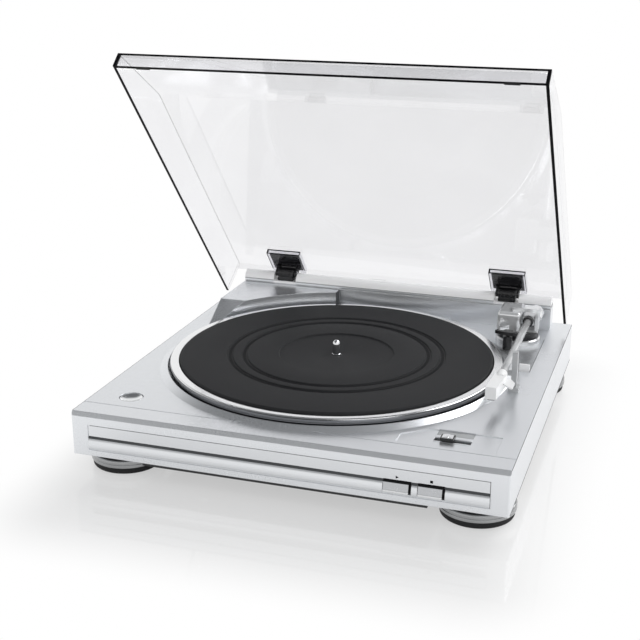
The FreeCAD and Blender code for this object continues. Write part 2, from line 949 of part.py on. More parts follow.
def circuit_board(name, left, width, place, depth):
    """A board on its standoffs, with two rows of parts."""
    bottom = floor + S.standoff_height
    top = bottom + S.board_thickness
    pieces = [block(name + "_card", (left, left + width), (fy(place), fy(place) + depth), (bottom, top))]
    for number in range(3):
        x = left + width * (2 * number + 1) / 8
        pieces.append(block("%s_chip_%d" % (name, number), (x, x + width / 8),
                            (fy(place) + depth / 4, fy(place) + depth / 2), (top, top + S.chip_height)))
        can = (x, fy(place) + depth * 3 / 4)
        pieces.append(column("%s_can_%d" % (name, number), can, (top, top + 2 * S.chip_height),
                             S.chip_height))
    return fused(name + "_board", pieces)


def screws(name, places, z, head_z, radius, head_radius):
    """Identical screws, each a shank and a head."""
    solids = []
    for number, place in enumerate(places):
        shank = column("%s_shank_%d" % (name, number), place, z, radius)
        head = column("%s_head_%d" % (name, number), place, head_z, head_radius)
        solids.append(fused("%s_%d" % (name, number), [shank, head]))
    return group(name, solids)


def foot_shells():
    """Four feet, each a neck and a wide bright band."""
    solids = []
    band_bottom = S.pad_height
    band_top = band_bottom + S.band_height
    bore = S.foot_screw_radius + S.running_gap
    for number, place in enumerate(feet):
        profile = [
            (bore, band_bottom),
            (S.band_radius, band_bottom),
            (S.band_radius, band_top),
            (S.neck_radius, band_top),
            (S.neck_radius, floor),
            (bore, floor),
        ]
        solids.append(turned("foot_shell_%d" % number, place, profile))
    return group("foot_shells", solids)


def foot_pads():
    """The rubber ring under each foot."""
    bore = S.foot_screw_head + S.loose_gap
    profile = [(bore, 0), (S.pad_radius, 0), (S.pad_radius, S.pad_height), (bore, S.pad_height)]
    return group("foot_pads", [turned("foot_pad_%d" % number, place, profile)
                               for number, place in enumerate(feet)])


def spindle_bearing():
    """The closed sleeve that the platter's shaft turns in, with a flange on the well floor."""
    bottom = dz(-S.bearing_bottom)
    bore = S.shaft_radius + S.running_gap
    top = well_floor + S.bearing_flange
    profile = [
        (0, bottom),
        (S.bearing_radius, bottom),
        (S.bearing_radius, well_floor),
        (S.bearing_flange_radius, well_floor),
        (S.bearing_flange_radius, top),
        (bore, top),
        (bore, bottom + S.bearing_floor),
        (0, bottom + S.bearing_floor),
    ]
    return turned("spindle_bearing", platter, profile)


def bearing_ball():
    ball = doc.addObject("Part::Sphere", "bearing_ball")
    bind(ball, "Radius", S.ball_radius)
    move(ball, platter[0], platter[1], dz(-S.bearing_bottom) + S.bearing_floor + S.ball_radius)
    return ball


def spindle_shaft():
    """The shaft of the platter, which steps down to the record spindle with its rounded top."""
    bottom = dz(-S.bearing_bottom) + S.bearing_floor + 2 * S.ball_radius + S.running_gap
    top = dz(S.spindle_top)
    shoulder = dz(S.shaft_shoulder)
    profile = [(0, bottom), (S.shaft_radius, bottom), (S.shaft_radius, shoulder),
               (S.spindle_radius, shoulder), (S.spindle_radius, top), (0, top)]
    body = turned("spindle_shaft", platter, profile)
    return rounded(body, S.spindle_round, lambda edge: edge.BoundBox.ZMin > top.number - 0.01
                   and edge.BoundBox.XLength > S.spindle_radius.number)


def platter_disc():
    """The platter: a lip round the mat, a conical side, a belt drum below and a hub."""
    bore = S.shaft_radius + S.running_gap
    web = dz(S.web_top)
    under = web - S.web_thickness
    drum_inside = S.drum_radius - S.drum_wall
    profile = [
        (bore, web),
        (S.lip_inner_radius, web),
        (S.lip_inner_radius, dz(S.lip_height)),
        (S.lip_outer_radius, dz(S.lip_height)),
        (S.rim_radius, dz(S.rim_shoulder)),
        (S.rim_radius, dz(-S.rim_bottom)),
        (S.rim_inner_radius, dz(-S.rim_bottom)),
        (S.rim_inner_radius, under),
        (S.drum_radius, under),
        (S.drum_radius, dz(-S.drum_bottom)),
        (drum_inside, dz(-S.drum_bottom)),
        (drum_inside, under),
        (S.hub_radius, under),
        (S.hub_radius, dz(S.hub_bottom)),
        (bore, dz(S.hub_bottom)),
    ]
    return turned("platter", platter, profile)


def platter_mat():
    """The rubber mat, lower under the label, with two ring grooves."""
    bottom = dz(S.web_top)
    top = bottom + S.mat_thickness
    groove = top - S.mat_groove_sink
    profile = [(S.shaft_radius + S.loose_gap, bottom), (S.mat_radius, bottom), (S.mat_radius, top)]
    for inner in (S.mat_groove_middle, S.mat_groove_inner):
        outer = inner + S.mat_groove_width
        profile += [(outer, top), (outer, groove), (inner, groove), (inner, top)]
    label = top - S.label_sink
    profile += [(S.label_radius, top), (S.label_radius, label), (S.shaft_radius + S.loose_gap, label)]
    return turned("platter_mat", platter, profile)


def gear(name, place, z, root, teeth, arc, start, hub):
    """A toothed wheel: a turned blank and one tooth, repeated over an arc from a start angle."""
    body = doc.addObject("PartDesign::Body", name)
    blank = body.newObject("PartDesign::Revolution", name + "_blank")
    profile = outline(body, "XZ_Plane", hub)
    blank.Profile = profile
    blank.ReferenceAxis = (profile, ["V_Axis"])
    blank.Angle = 360
    half = S.tooth_width / 2
    tip = root + S.tooth_height
    inner = root - S.tooth_height / 2
    corners = [(inner, -half), (root, -half), (tip, -half / 2), (tip, half / 2), (root, half), (inner, half)]
    sketch = outline(body, "XY_Plane", corners)
    bind(sketch, "AttachmentOffset.Base.z", z[0])
    tooth = body.newObject("PartDesign::Pad", name + "_tooth")
    tooth.Profile = sketch
    bind(tooth, "Length", z[1] - z[0])
    doc.recompute()
    pattern = body.newObject("PartDesign::PolarPattern", name + "_teeth")
    pattern.Originals = [tooth]
    axis = [item for item in body.Origin.OriginFeatures if item.Role == "Z_Axis"][0]
    pattern.Axis = (axis, [""])
    bind(pattern, "Angle", arc)
    bind(pattern, "Occurrences", teeth)
    body.Tip = pattern
    spin = "create(<<rotation>>; create(<<vector>>; 0; 0; 1); %s)" % as_size(start).text
    base = "create(<<vector>>; %s; %s; 0)" % (place[0].text, place[1].text)
    body.setExpression("Placement", "create(<<placement>>; %s; %s)" % (base, spin))
    return body


def platter_pinion():
    """The small gear under the platter's hub."""
    bore = S.shaft_radius + S.running_gap
    top = dz(S.hub_bottom)
    z = (top - S.gear_thickness, top)
    root = S.pinion_pitch_radius - S.tooth_height / 2
    hub = [(bore, z[0]), (root, z[0]), (root, z[1]), (bore, z[1])]
    return gear("platter_pinion", platter, z, root, S.pinion_teeth, as_size(360), 0, hub)


def cam_gear():
    """The large gear of the automatic drive. Its toothless stretch faces the pinion at rest."""
    bore = S.cam_pin_radius + S.running_gap
    z = (cam_top - S.gear_thickness, cam_top)
    bottom = well_floor + S.seat_gap
    hub = [
        (bore, bottom),
        (S.cam_hub_radius, bottom),
        (S.cam_hub_radius, z[0]),
        (S.cam_root_radius, z[0]),
        (S.cam_root_radius, z[1]),
        (bore, z[1]),
    ]
    start = S.cam_angle + 180 + (360 - S.cam_teeth_arc) / 2
    return gear("cam_gear", cam, z, S.cam_root_radius, S.cam_teeth, S.cam_teeth_arc, start, hub)


def motor_can():
    """The motor under the well floor, with a blind bore for its shaft."""
    bore = S.motor_shaft_radius + S.running_gap
    bottom = dz(-S.motor_bottom)
    profile = [
        (0, bottom),
        (S.motor_radius, bottom),
        (S.motor_radius, plate_z[0]),
        (bore, plate_z[0]),
        (bore, bottom + S.case_wall - S.seat_gap),
        (0, bottom + S.case_wall - S.seat_gap),
    ]
    return turned("motor_can", motor, profile)


def motor_plate():
    """The round plate that carries the motor under three rubber grommets."""
    disc = column("motor_plate_disc", motor, plate_z, S.motor_plate_radius)
    holes = [
        column("motor_plate_hole_%d" % number, place, (plate_z[0] - S.case_wall, well_under),
               S.screw_radius + S.running_gap)
        for number, place in enumerate(motor_screws)
    ]
    holes.append(column("motor_plate_middle", motor, (plate_z[0] - S.case_wall, well_under),
                        3 * S.motor_shaft_radius))
    return cut("motor_plate", disc, fused("motor_plate_holes", holes))


def motor_grommets():
    bore = S.screw_radius + S.running_gap
    rings = [
        turned("motor_grommet_%d" % number, place, [
            (bore, plate_z[1]),
            (S.grommet_radius, plate_z[1]),
            (S.grommet_radius, well_under),
            (bore, well_under),
        ])
        for number, place in enumerate(motor_screws)
    ]
    return group("motor_grommets", rings)


def motor_pulley():
    """The pulley, with a flange above and below the belt."""
    bore = S.motor_shaft_radius + S.running_gap / 2
    top = dz(S.pulley_top)
    upper = top - S.pulley_flange
    lower = upper - S.belt_height - 2 * S.loose_gap
    profile = [
        (bore, lower - S.pulley_flange),
        (S.pulley_flange_radius, lower - S.pulley_flange),
        (S.pulley_flange_radius, lower),
        (S.pulley_radius, lower),
        (S.pulley_radius, upper),
        (S.pulley_flange_radius, upper),
        (S.pulley_flange_radius, top),
        (bore, top),
    ]
    return turned("motor_pulley", motor, profile)


def drive_belt():
    """A flat belt in two arcs and two tangent runs, just clear of the drum and the pulley."""
    centre = Vector(platter[0].number, platter[1].number, 0)
    small = Vector(motor[0].number, motor[1].number, 0)
    along = math.radians(S.motor_angle.number)
    spread = math.acos((S.drum_radius.number - S.pulley_radius.number) / S.motor_distance.number)
    bottom = (dz(S.pulley_top) - S.pulley_flange - S.belt_height - S.loose_gap).number

    def loop(offset):
        """The belt's closed line at a distance outside the drum and the pulley."""
        big_radius = S.drum_radius.number + offset
        small_radius = S.pulley_radius.number + offset

        def at(middle, radius, angle):
            return middle + Vector(radius * math.cos(angle), radius * math.sin(angle), bottom)

        big = [at(centre, big_radius, along + turn) for turn in (spread, math.pi, -spread)]
        little = [at(small, small_radius, along + turn) for turn in (-spread, 0, spread)]
        edges = [
            Part.Arc(*big).toShape(),
            Part.LineSegment(big[2], little[0]).toShape(),
            Part.Arc(*little).toShape(),
            Part.LineSegment(little[2], big[0]).toShape(),
        ]
        return Part.Face(Part.Wire(edges)).extrude(Vector(0, 0, S.belt_height.number))

    belt = doc.addObject("Part::Feature", "drive_belt")
    gap = S.belt_gap.number
    belt.Shape = loop(gap + S.belt_thickness.number).cut(loop(gap))
    return belt


def arm_base_ring():
    """The pale ring round the foot of the tonearm."""
    bore = S.arm_bearing_radius + S.running_gap
    top = dz(S.ring_top)
    profile = [
        (bore, recess_floor),
        (S.ring_radius, recess_floor),
        (S.ring_radius, top - S.ring_bevel),
        (S.ring_radius - S.ring_bevel, top),
        (bore, top),
    ]
    return turned("arm_base_ring", arm, profile)


def sleeve(name, centre, z, bore, radius):
    return turned(name, centre, [(bore, z[0]), (radius, z[0]), (radius, z[1]), (bore, z[1])])


def pivot_housing():
    """The silver housing beside the tube, rounded along its top edges."""
    x = (S.housing_left, S.housing_right)
    y = (fy(S.housing_front), fy(S.housing_back))
    corners = [(x[0], y[0]), (x[1], y[0]), (x[1], y[1]), (x[0], y[1])]
    top = dz(S.housing_top)
    body = padded("housing_block", "XY_Plane", corners, (turret_z[1], top))
    low = top.number - turret_z[1].number - 0.01
    rounded(body, S.housing_round, lambda edge: upright(edge) or edge.BoundBox.ZMin > low)
    hole = rod_x("housing_hole", (pivot_left[0], x[1] + S.case_wall), pivot_line,
                 S.pivot_pin_radius + S.running_gap / 2)
    return cut("pivot_housing", body, hole)


def arm_yoke():
    """The bow round the tube: a foot under it, an upright for the second pivot screw, and a roof."""
    base_top = turret_z[1] + S.yoke_base
    y = (fy(S.pivot_place) - S.yoke_length / 2, fy(S.pivot_place) + S.yoke_length / 2)
    base = block("yoke_base", (S.housing_right, S.yoke_outer), y, (turret_z[1], base_top))
    side = block("yoke_side", (S.yoke_outer - S.yoke_width, S.yoke_outer), y,
                 (turret_z[1], dz(S.yoke_top)))
    roof = block("yoke_roof", (S.housing_right - S.yoke_lap, S.yoke_outer), y,
                 (dz(S.yoke_top - S.yoke_roof), dz(S.yoke_top)))
    hole = rod_x("yoke_hole", (S.yoke_outer - 2 * S.yoke_width, S.yoke_outer + S.yoke_width),
                 pivot_line, S.pivot_pin_radius + S.running_gap / 2)
    return cut("arm_yoke", fused("yoke_whole", [base, side, roof]), hole)


def arm_drive_lever():
    """The lever on the lower end of the arm's shaft, which the automatic drive pushes."""
    top = dz(-S.arm_bearing_bottom) - S.drive_lever_drop
    z = (top - S.drive_lever_thickness, top)
    half = S.drive_lever_width / 2
    hub = column("drive_lever_hub", arm, z, 2 * S.arm_shaft_radius)
    bar = block("drive_lever_bar", (arm[0] - S.drive_lever_length, arm[0]), (arm[1] - half, arm[1] + half), z)
    bore = column("drive_lever_bore", arm, (z[0] - half, z[1] + half),
                  S.arm_shaft_radius + S.running_gap / 2)
    return cut("arm_drive_lever", fused("drive_lever_whole", [hub, bar]), bore)


def pivot_screws():
    """Two pointed screws in line, one from the housing and one from the yoke."""
    left = rod_x("pivot_screw_left", pivot_left, pivot_line, S.pivot_pin_radius)
    right = rod_x("pivot_screw_right", pivot_right, pivot_line, S.pivot_pin_radius)
    return group("pivot_screws", [left, right])


def slanted(name, near, far, radius):
    """A cylinder along the tube's own line, between two places along Y."""
    solid = doc.addObject("Part::Cylinder", name)
    bind(solid, "Radius", radius)
    bind(solid, "Height", (near - far) / (cosine(S.tube_yaw) * cosine(S.tube_rise)))
    base = "create(<<vector>>; %s; %s; %s)" % (tube_x(near).text, fy(near).text, tube_z(near).text)
    turn = "create(<<rotation>>; %s; 0; %s)" % (S.tube_yaw.text, (90 - S.tube_rise).text)
    solid.setExpression("Placement", "create(<<placement>>; %s; %s)" % (base, turn))
    return solid


def tube_x(place):
    return S.tube_x + (S.pivot_place - place) * tangent(S.tube_yaw)


def tube_z(place):
    return dz(S.pivot_height) + (S.pivot_place - place) * tangent(S.tube_rise) / cosine(S.tube_yaw)


def pivot_block():
    """The block that carries the tube between the pivot screws."""
    x = (S.tube_x - S.block_half_width, S.tube_x + S.block_half_width)
    y = (fy(S.pivot_place) - S.block_half_length, fy(S.pivot_place) + S.block_half_length)
    z = (pivot_line[1] - S.block_half_height, pivot_line[1] + S.block_half_height)
    bores = [
        rod_x("pivot_bore_left", (x[0] - S.case_wall, pivot_left[1] + S.running_gap), pivot_line,
              S.pivot_pin_radius + S.running_gap),
        rod_x("pivot_bore_right", (pivot_right[0] - S.running_gap, x[1] + S.case_wall), pivot_line,
              S.pivot_pin_radius + S.running_gap),
        slanted("tube_bore", S.tube_back, S.tube_front, S.tube_radius + S.running_gap / 2),
    ]
    return cut("pivot_block", block("pivot_block_whole", x, y, z), fused("pivot_bores", bores))


def arm_tube():
    return slanted("arm_tube", S.tube_back, S.tube_front, S.tube_radius)


def tube_collar():
    """The dark ring where the tube leaves the pivot block."""
    back = S.pivot_place - S.block_half_length - 2 * S.running_gap
    ring = slanted("tube_collar_ring", back, back - S.tube_collar_length, S.tube_collar_radius)
    bore = slanted("tube_collar_bore", S.tube_back, S.tube_front, S.tube_radius + S.running_gap / 2)
    return cut("tube_collar", ring, bore)


def counterweight():
    """The ribbed weight behind the pivot, hung below the line of the tube."""
    middle = (tube_x(S.weight_front) + S.weight_shift, dz(S.pivot_height - S.weight_drop))
    y = (fy(S.weight_front), fy(S.weight_front + S.weight_length))
    weight = rod_y("weight_drum", y, middle, S.weight_radius)
    bore = slanted("weight_bore", S.tube_back, S.tube_front, S.tube_radius + S.running_gap / 2)
    return cut("counterweight", weight, bore)


def shell_plan(inset, back, front_place):
    """The headshell's outline seen from above, between two places along Y, drawn in by an inset."""
    corners = []
    for place, side in ((back, -1), (back, 1), (front_place, 1), (front_place, -1)):
        share = (S.shell_back - place) / S.shell_length
        half = S.shell_back_half - (S.shell_back_half - S.shell_front_half) * share - inset
        middle = tube_x(S.shell_back) - S.shell_toe * share
        corners.append((middle + side * half, fy(place)))
    return corners


def headshell():
    """The white headshell: a tapered cap, open below, with a socket for the tube."""
    front_place = S.shell_back - S.shell_length
    whole = padded("shell_whole", "XY_Plane", shell_plan(0, S.shell_back, front_place),
                   (dz(S.shell_bottom), dz(S.shell_top)))
    hollow = padded("shell_hollow", "XY_Plane",
                    shell_plan(S.shell_wall, S.shell_back - S.shell_socket, front_place + S.shell_wall),
                    (dz(S.shell_bottom - S.shell_wall), dz(S.shell_top - S.shell_roof)))
    bore = slanted("shell_bore", S.tube_back, S.tube_front, S.tube_radius + S.running_gap / 2)
    neck = slanted("shell_neck", S.shell_back + 2 * S.shell_socket, S.shell_back - S.shell_socket,
                   S.shell_neck_radius)
    joined = fused("shell_joined", [cut("shell_open", whole, hollow), neck])
    return cut("headshell", joined, bore)


def cartridge():
    """The cartridge inside the headshell, held under its roof."""
    front_place = S.shell_back - S.shell_length + S.shell_wall + S.seat_gap
    plan = shell_plan(S.shell_wall + S.seat_gap, front_place + S.cartridge_length, front_place)
    return padded("cartridge", "XY_Plane", plan, (dz(S.cartridge_bottom), dz(S.shell_top - S.shell_roof)))


def stylus():
    """The needle holder under the cartridge, ending in a small cone."""
    x = tube_x(S.shell_back) - S.shell_toe
    y = fy(S.stylus_place)
    top = dz(S.cartridge_bottom)
    tip = dz(S.stylus_tip)
    return cone("stylus", (x, y), (tip, top), S.running_gap, S.stylus_width)


def finger_lift():
    """The curved tab beside the headshell that a finger lifts."""
    right = shell_plan(0, S.shell_back, S.shell_back - S.shell_length)
    start = right[1][0]
    slope = (right[1][0] - right[2][0]) / S.shell_length
    width = S.finger_reach / 2

    def edge(distance):
        return start - slope * distance

    back = as_size(1)
    corners = [
        (edge(back), fy(S.shell_back) - back),
        (edge(back) + width, fy(S.shell_back) - back),
        (edge(back) + S.finger_reach, fy(S.shell_back) - 2 * width),
        (edge(back) + S.finger_reach, fy(S.shell_back) - 5 * width),
        (edge(back) + S.finger_reach - width / 2, fy(S.shell_back) - 5 * width),
        (edge(3 * width), fy(S.shell_back) - 3 * width),
    ]
    z = (dz(S.finger_height), dz(S.finger_height) + S.finger_thickness)
    return padded("finger_lift", "XY_Plane", corners, z)


def arm_rest():
    """The post beside the tube, with a seat under it, open towards the platter."""
    y = (fy(S.rest_place), fy(S.rest_place + S.rest_length))
    post_x = (S.rest_post_left, S.rest_post_left + S.rest_post_width)
    seat_top = tube_z(S.rest_place + S.rest_length) - S.tube_radius - S.seat_gap
    margin = S.rest_foot_margin
    post = block("rest_post", post_x, y, (deck, dz(S.rest_top)))
    seat = block("rest_seat", (post_x[0] - S.rest_seat_reach, post_x[1]), y,
                 (seat_top - S.rest_seat_thickness, seat_top))
    foot = block("rest_foot", (post_x[0] - margin, post_x[1] + margin), (y[0] - margin, y[1] + margin),
                 (deck, dz(S.rest_foot_height)))
    return fused("arm_rest", [post, seat, foot])


def lifter_bar():
    """The lifting stem and the arc under the tube that follows the arm's swing."""
    tube_under = tube_z(S.arm_place - S.lifter_arc_radius) - S.tube_radius
    top = tube_under - S.seat_gap - S.running_gap
    z = (top - S.lifter_arc_thickness, top)
    ring = sleeve("lifter_ring", arm, z, S.lifter_arc_radius - S.lifter_arc_width, S.lifter_arc_radius)
    reach = 2 * S.lifter_arc_radius
    corners = [
        arm,
        (arm[0] - reach * sine(S.lifter_arc_left), arm[1] - reach * cosine(S.lifter_arc_left)),
        (arm[0] + reach * sine(S.lifter_arc_right), arm[1] - reach * cosine(S.lifter_arc_right)),
    ]
    sector = padded("lifter_sector", "XY_Plane", corners, z)
    arc = common("lifter_arc", ring, sector)
    hub_top = top - S.lifter_hub_drop
    stem = column("lifter_stem", lifter, (dz(-S.stem_bottom), hub_top), S.stem_radius)
    hub = column("lifter_hub", lifter, (z[0], hub_top), S.lifter_hub_radius)
    return fused("lifter_bar", [arc, stem, hub])


def cue_lever():
    """The small flat lever in front of the tonearm, on a cross pin."""
    axis = (fy(S.cue_place), dz(-S.cue_pin_depth))
    x = (S.cue_left, S.cue_left + S.cue_width)
    half = S.cue_tab_thickness / 2
    pin = rod_x("cue_pin", (S.cue_left - S.cue_ear_width, cue_pin_end), axis, S.cue_pin_radius)
    hub = rod_x("cue_hub", x, axis, S.cue_hub_radius)
    tab = block("cue_tab", x, (axis[0] - half, axis[0] + half), (axis[1], dz(S.cue_tab_top)))
    return fused("cue_lever", [pin, hub, tab])


def push_button(name, left, width):
    """A long key with a crowned face, a flange behind the panel and a block that meets its switch."""
    z = (dz(-S.button_top - S.button_height), dz(-S.button_top))
    x = (left, left + width)
    rod = bulged_bar(name + "_face", x, z, fy(-S.button_proud), S.button_crown)
    face_back = fy(S.button_crown - S.button_proud)
    zone = block(name + "_zone", x, (fy(-S.button_proud), face_back), z)
    face = common(name + "_crown", rod, zone)
    stem = block(name + "_stem", x, (face_back, fy(S.button_back)), z)
    reach = S.button_flange_reach
    flange_y = (fy(S.button_flange_place), fy(S.button_flange_place + S.button_flange))
    flange = block(name + "_flange", (x[0] - reach, x[1] + reach), flange_y, (z[0] - reach, z[1] + reach))
    return fused(name, [face, stem, flange])


def button_board():
    """The upright board behind the front buttons, with a switch for each."""
    switch_y = fy(S.button_back + S.button_travel + S.seat_gap)
    board_y = switch_y + S.switch_depth
    left = S.start_left - S.button_flange_reach
    right = S.stop_left + S.stop_width + S.button_flange_reach
    middle = dz(-S.button_top - S.button_height / 2)
    pieces = [block("button_card", (left, right), (board_y, board_y + S.board_thickness),
                    (floor + S.case_wall, dz(-S.button_top)))]
    for name, start, width in key_places():
        half = S.button_height / 4
        pieces.append(block(name + "_switch", (start + width / 4, start + width * 3 / 4),
                            (switch_y, board_y), (middle - half, middle + half)))
    return fused("button_board", pieces)


def speed_button():
    """The round dished button at the front left corner, on its stem."""
    top = dz(-S.speed_button_sunk)
    under = top - S.speed_button_thickness
    bottom = dz(-S.speed_recess_sink) - S.case_wall - S.speed_stem_radius / 2
    rim = S.speed_button_radius - S.speed_dish
    profile = [
        (0, bottom),
        (S.speed_stem_radius, bottom),
        (S.speed_stem_radius, under),
        (S.speed_button_radius, under),
        (S.speed_button_radius, top - S.speed_dish / 2),
        (rim + S.speed_dish / 2, top),
        (rim, top),
        (rim * 2 / 3, top - S.speed_dish * 2 / 3),
        (rim / 3, top - S.speed_dish),
        (0, top - S.speed_dish),
    ]
    return turned("speed_button", speed, profile)


def speed_switch():
    """The switch under the speed button, with a well for the stem."""
    half = S.speed_switch_width / 2
    top = dz(-S.speed_recess_sink) - S.case_wall
    z = (top - S.speed_switch_height, top)
    whole = block("speed_switch_block", (speed[0] - half, speed[0] + half),
                  (speed[1] - half, speed[1] + half), z)
    well_bottom = top - S.speed_stem_radius / 2 - S.button_travel - S.seat_gap
    well = column("speed_switch_well", speed, (well_bottom, top + S.case_wall),
                  S.speed_stem_radius + S.seat_gap)
    return cut("speed_switch", whole, well)


def size_lever():
    """The record size lever: a knob in the slot, its stem through the slit, a plate below."""
    knob_bottom = dz(-S.slot_sink) + S.seat_gap
    x = (S.size_knob_left, S.size_knob_left + S.size_knob_width)
    y = (fy(S.size_knob_front), fy(S.size_knob_front) + S.size_knob_length)
    middle = (x[0] + x[1]) / 2
    under = dz(-S.slot_sink) - S.case_wall - S.seat_gap
    knob = block("size_knob", x, y, (knob_bottom, dz(S.size_knob_top)))
    stem = block("size_stem", (middle - S.size_stem_width / 2, middle + S.size_stem_width / 2),
                 size_stem_y, (under, knob_bottom))
    plate = block("size_plate", x, y, (under - S.size_plate_thickness, under))
    return fused("size_lever", [knob, stem, plate])


def power_transformer():
    """The mains transformer on the bottom cover: a wound bobbin in a wider core."""
    x = (S.transformer_left, S.transformer_left + S.transformer_width)
    y = (fy(S.transformer_place), fy(S.transformer_place) + S.transformer_depth)
    top = floor + S.transformer_height
    over = S.core_overhang
    core = block("transformer_core", (x[0] + over, x[1] - over), y, (floor, top))
    bobbin = block("transformer_bobbin", x, (y[0] + over, y[1] - over), (floor + over, top - over))
    return fused("power_transformer", [core, bobbin])


def lead_gland(name, x):
    """A flanged bush in the rear wall that a lead would leave by."""
    back = fy(S.case_depth)
    centre = (x, dz(-S.gland_drop))
    barrel = rod_y(name + "_barrel", (back - 2 * S.case_wall, back), centre, S.gland_radius)
    lip = rod_y(name + "_lip", (back, back + S.gland_lip), centre, S.gland_radius + S.gland_flange)
    nut = rod_y(name + "_nut", (back - 2 * S.case_wall, back - S.case_wall), centre,
                S.gland_radius + S.gland_flange)
    bore = rod_y(name + "_bore", (back - 3 * S.case_wall, back + 2 * S.gland_lip), centre, S.gland_bore)
    return cut(name, fused(name + "_whole", [barrel, lip, nut]), bore)


def hy(place):
    """A place along Y from the hinge's axis, for what opens with the dust cover."""
    return place - hinge_place


def hz(height):
    """A height from the hinge's axis, for what opens with the dust cover."""
    return height - S.hinge_height


def opened(item):
    """Swings a piece, drawn closed round the hinge's axis, to its open place."""
    base = "create(<<vector>>; 0; %s; %s)" % (fy(hinge_place).text, dz(S.hinge_height).text)
    turn = "create(<<rotation>>; create(<<vector>>; -1; 0; 0); %s)" % S.lid_open.text
    item.setExpression("Placement", "create(<<placement>>; %s; %s)" % (base, turn))
    return item


def dust_cover():
    """The clear cover: a sloped front, a flat top, two sides and a shallow back."""
    wall = S.lid_wall
    rim = hz(S.lid_rim_gap)
    outside = padded("lid_outside", "YZ_Plane", [
        (hy(S.lid_front), rim),
        (hy(S.lid_front), hz(S.lid_front_height)),
        (hy(S.lid_slope_back), hz(S.lid_top)),
        (hy(lid_back), hz(S.lid_top)),
        (hy(S.case_depth - S.lid_foot_inset), rim),
    ], (-lid_half_width, lid_half_width))
    inner_back = hy(lid_back - wall)
    edge = hz(S.lid_back_edge)
    beyond = hy(lid_back + wall)
    low = rim - wall
    rise = (S.lid_top - S.lid_front_height) / (S.lid_slope_back - S.lid_front)
    inside = padded("lid_inside", "YZ_Plane", [
        (hy(S.lid_front + wall), low),
        (hy(S.lid_front + wall), hz(S.lid_front_height - wall + wall * rise)),
        (hy(S.lid_slope_back), hz(S.lid_top - wall)),
        (inner_back, hz(S.lid_top - wall)),
        (inner_back, edge),
        (beyond, edge),
        (beyond, low),
    ], (wall - lid_half_width, lid_half_width - wall))
    half = S.lid_notch_width / 2
    notch = block("lid_notch", (S.lid_notch_middle - half, S.lid_notch_middle + half),
                  (hy(lid_back - 2 * wall), hy(lid_back + wall)), (edge - wall, edge + S.lid_notch_depth))
    return opened(cut("dust_cover", outside, fused("lid_removed", [inside, notch])))


def lid_bumpers():
    """Two soft pads under the front rim of the dust cover."""
    half = S.bumper_length / 2
    rim = hz(S.lid_rim_gap)
    pads = [
        block("lid_bumper_%s" % name, (side * S.bumper_x - half, side * S.bumper_x + half),
              (hy(S.lid_front), hy(S.lid_front + S.lid_wall)), (rim - S.bumper_thickness, rim))
        for name, side in (("left", -1), ("right", 1))
    ]
    return opened(group("lid_bumpers", pads))


def hinge_socket(side_name, side):
    """The clear pocket under the dust cover that a hinge leaf slides into."""
    middle = side * S.hinge_x
    wall = S.socket_wall
    roof = hz(S.lid_top - S.lid_wall)
    z = (hz(S.leaf_bottom) - wall, roof)
    back = hy(lid_back - S.lid_wall)
    whole = block("socket_whole_" + side_name, (middle - S.socket_half_width, middle + S.socket_half_width),
                  (hy(hinge_place - S.socket_ahead), back), z)
    inner = S.leaf_half_width + S.running_gap
    pocket = block("socket_pocket_" + side_name, (middle - inner, middle + inner),
                   (hy(hinge_place - S.leaf_ahead) - S.running_gap, back + wall),
                   (hz(S.leaf_bottom) - S.running_gap, hz(S.leaf_bottom) + S.leaf_thickness + S.running_gap))
    mouth = block("socket_mouth_" + side_name, (middle - S.rail_gap_half, middle + S.rail_gap_half),
                  (hy(hinge_place) - S.knuckle_radius - wall, back + wall),
                  (z[0] - wall, hz(S.leaf_bottom) + wall))
    return opened(cut("hinge_socket_" + side_name, whole, fused("socket_cuts_" + side_name, [pocket, mouth])))


def hinge_leaf(side_name, side):
    """The black leaf in its socket, with two knuckles round the hinge pin."""
    middle = side * S.hinge_x
    z = (hz(S.leaf_bottom), hz(S.leaf_bottom) + S.leaf_thickness)
    pieces = [block("leaf_plate_" + side_name, (middle - S.leaf_half_width, middle + S.leaf_half_width),
                    (hy(hinge_place - S.leaf_ahead), hy(hinge_place + S.leaf_behind)), z)]
    for where, x in (("left", (middle - S.knuckle_outer, middle - S.knuckle_inner)),
                     ("right", (middle + S.knuckle_inner, middle + S.knuckle_outer))):
        name = "%s_%s" % (side_name, where)
        pieces.append(rod_x("knuckle_" + name, x, (as_size(0), as_size(0)), S.knuckle_radius))
        pieces.append(block("knuckle_arm_" + name, x, (-S.knuckle_radius, S.knuckle_radius), (0, z[1])))
    bore = rod_x("leaf_bore_" + side_name, (middle - S.leaf_half_width, middle + S.leaf_half_width),
                 (as_size(0), as_size(0)), S.hinge_pin_radius + S.running_gap)
    return opened(cut("hinge_leaf_" + side_name, fused("leaf_whole_" + side_name, pieces), bore))


def hinge_base(side_name, side):
    """The black block in a gap of the rail that holds the hinge pin."""
    middle = side * S.hinge_x
    x = (middle - S.base_half_width, middle + S.base_half_width)
    y = (fy(hinge_place - S.base_half_depth), fy(hinge_place + S.base_half_depth))
    foot = block("base_foot_" + side_name, x, y,
                 (back_top + S.rail_band_height, dz(S.hinge_height)))
    barrel = rod_x("base_barrel_" + side_name, x, hinge_line, S.base_barrel_radius)
    bore = rod_x("base_bore_" + side_name, x, hinge_line, S.hinge_pin_radius + S.running_gap / 2)
    room = rod_x("base_room_" + side_name,
                 (middle - S.spring_half_length - S.seat_gap, middle + S.spring_half_length + S.seat_gap),
                 hinge_line, S.spring_radius + S.seat_gap)
    return cut("hinge_base_" + side_name, fused("base_whole_" + side_name, [foot, barrel]),
               fused("base_cuts_" + side_name, [bore, room]))


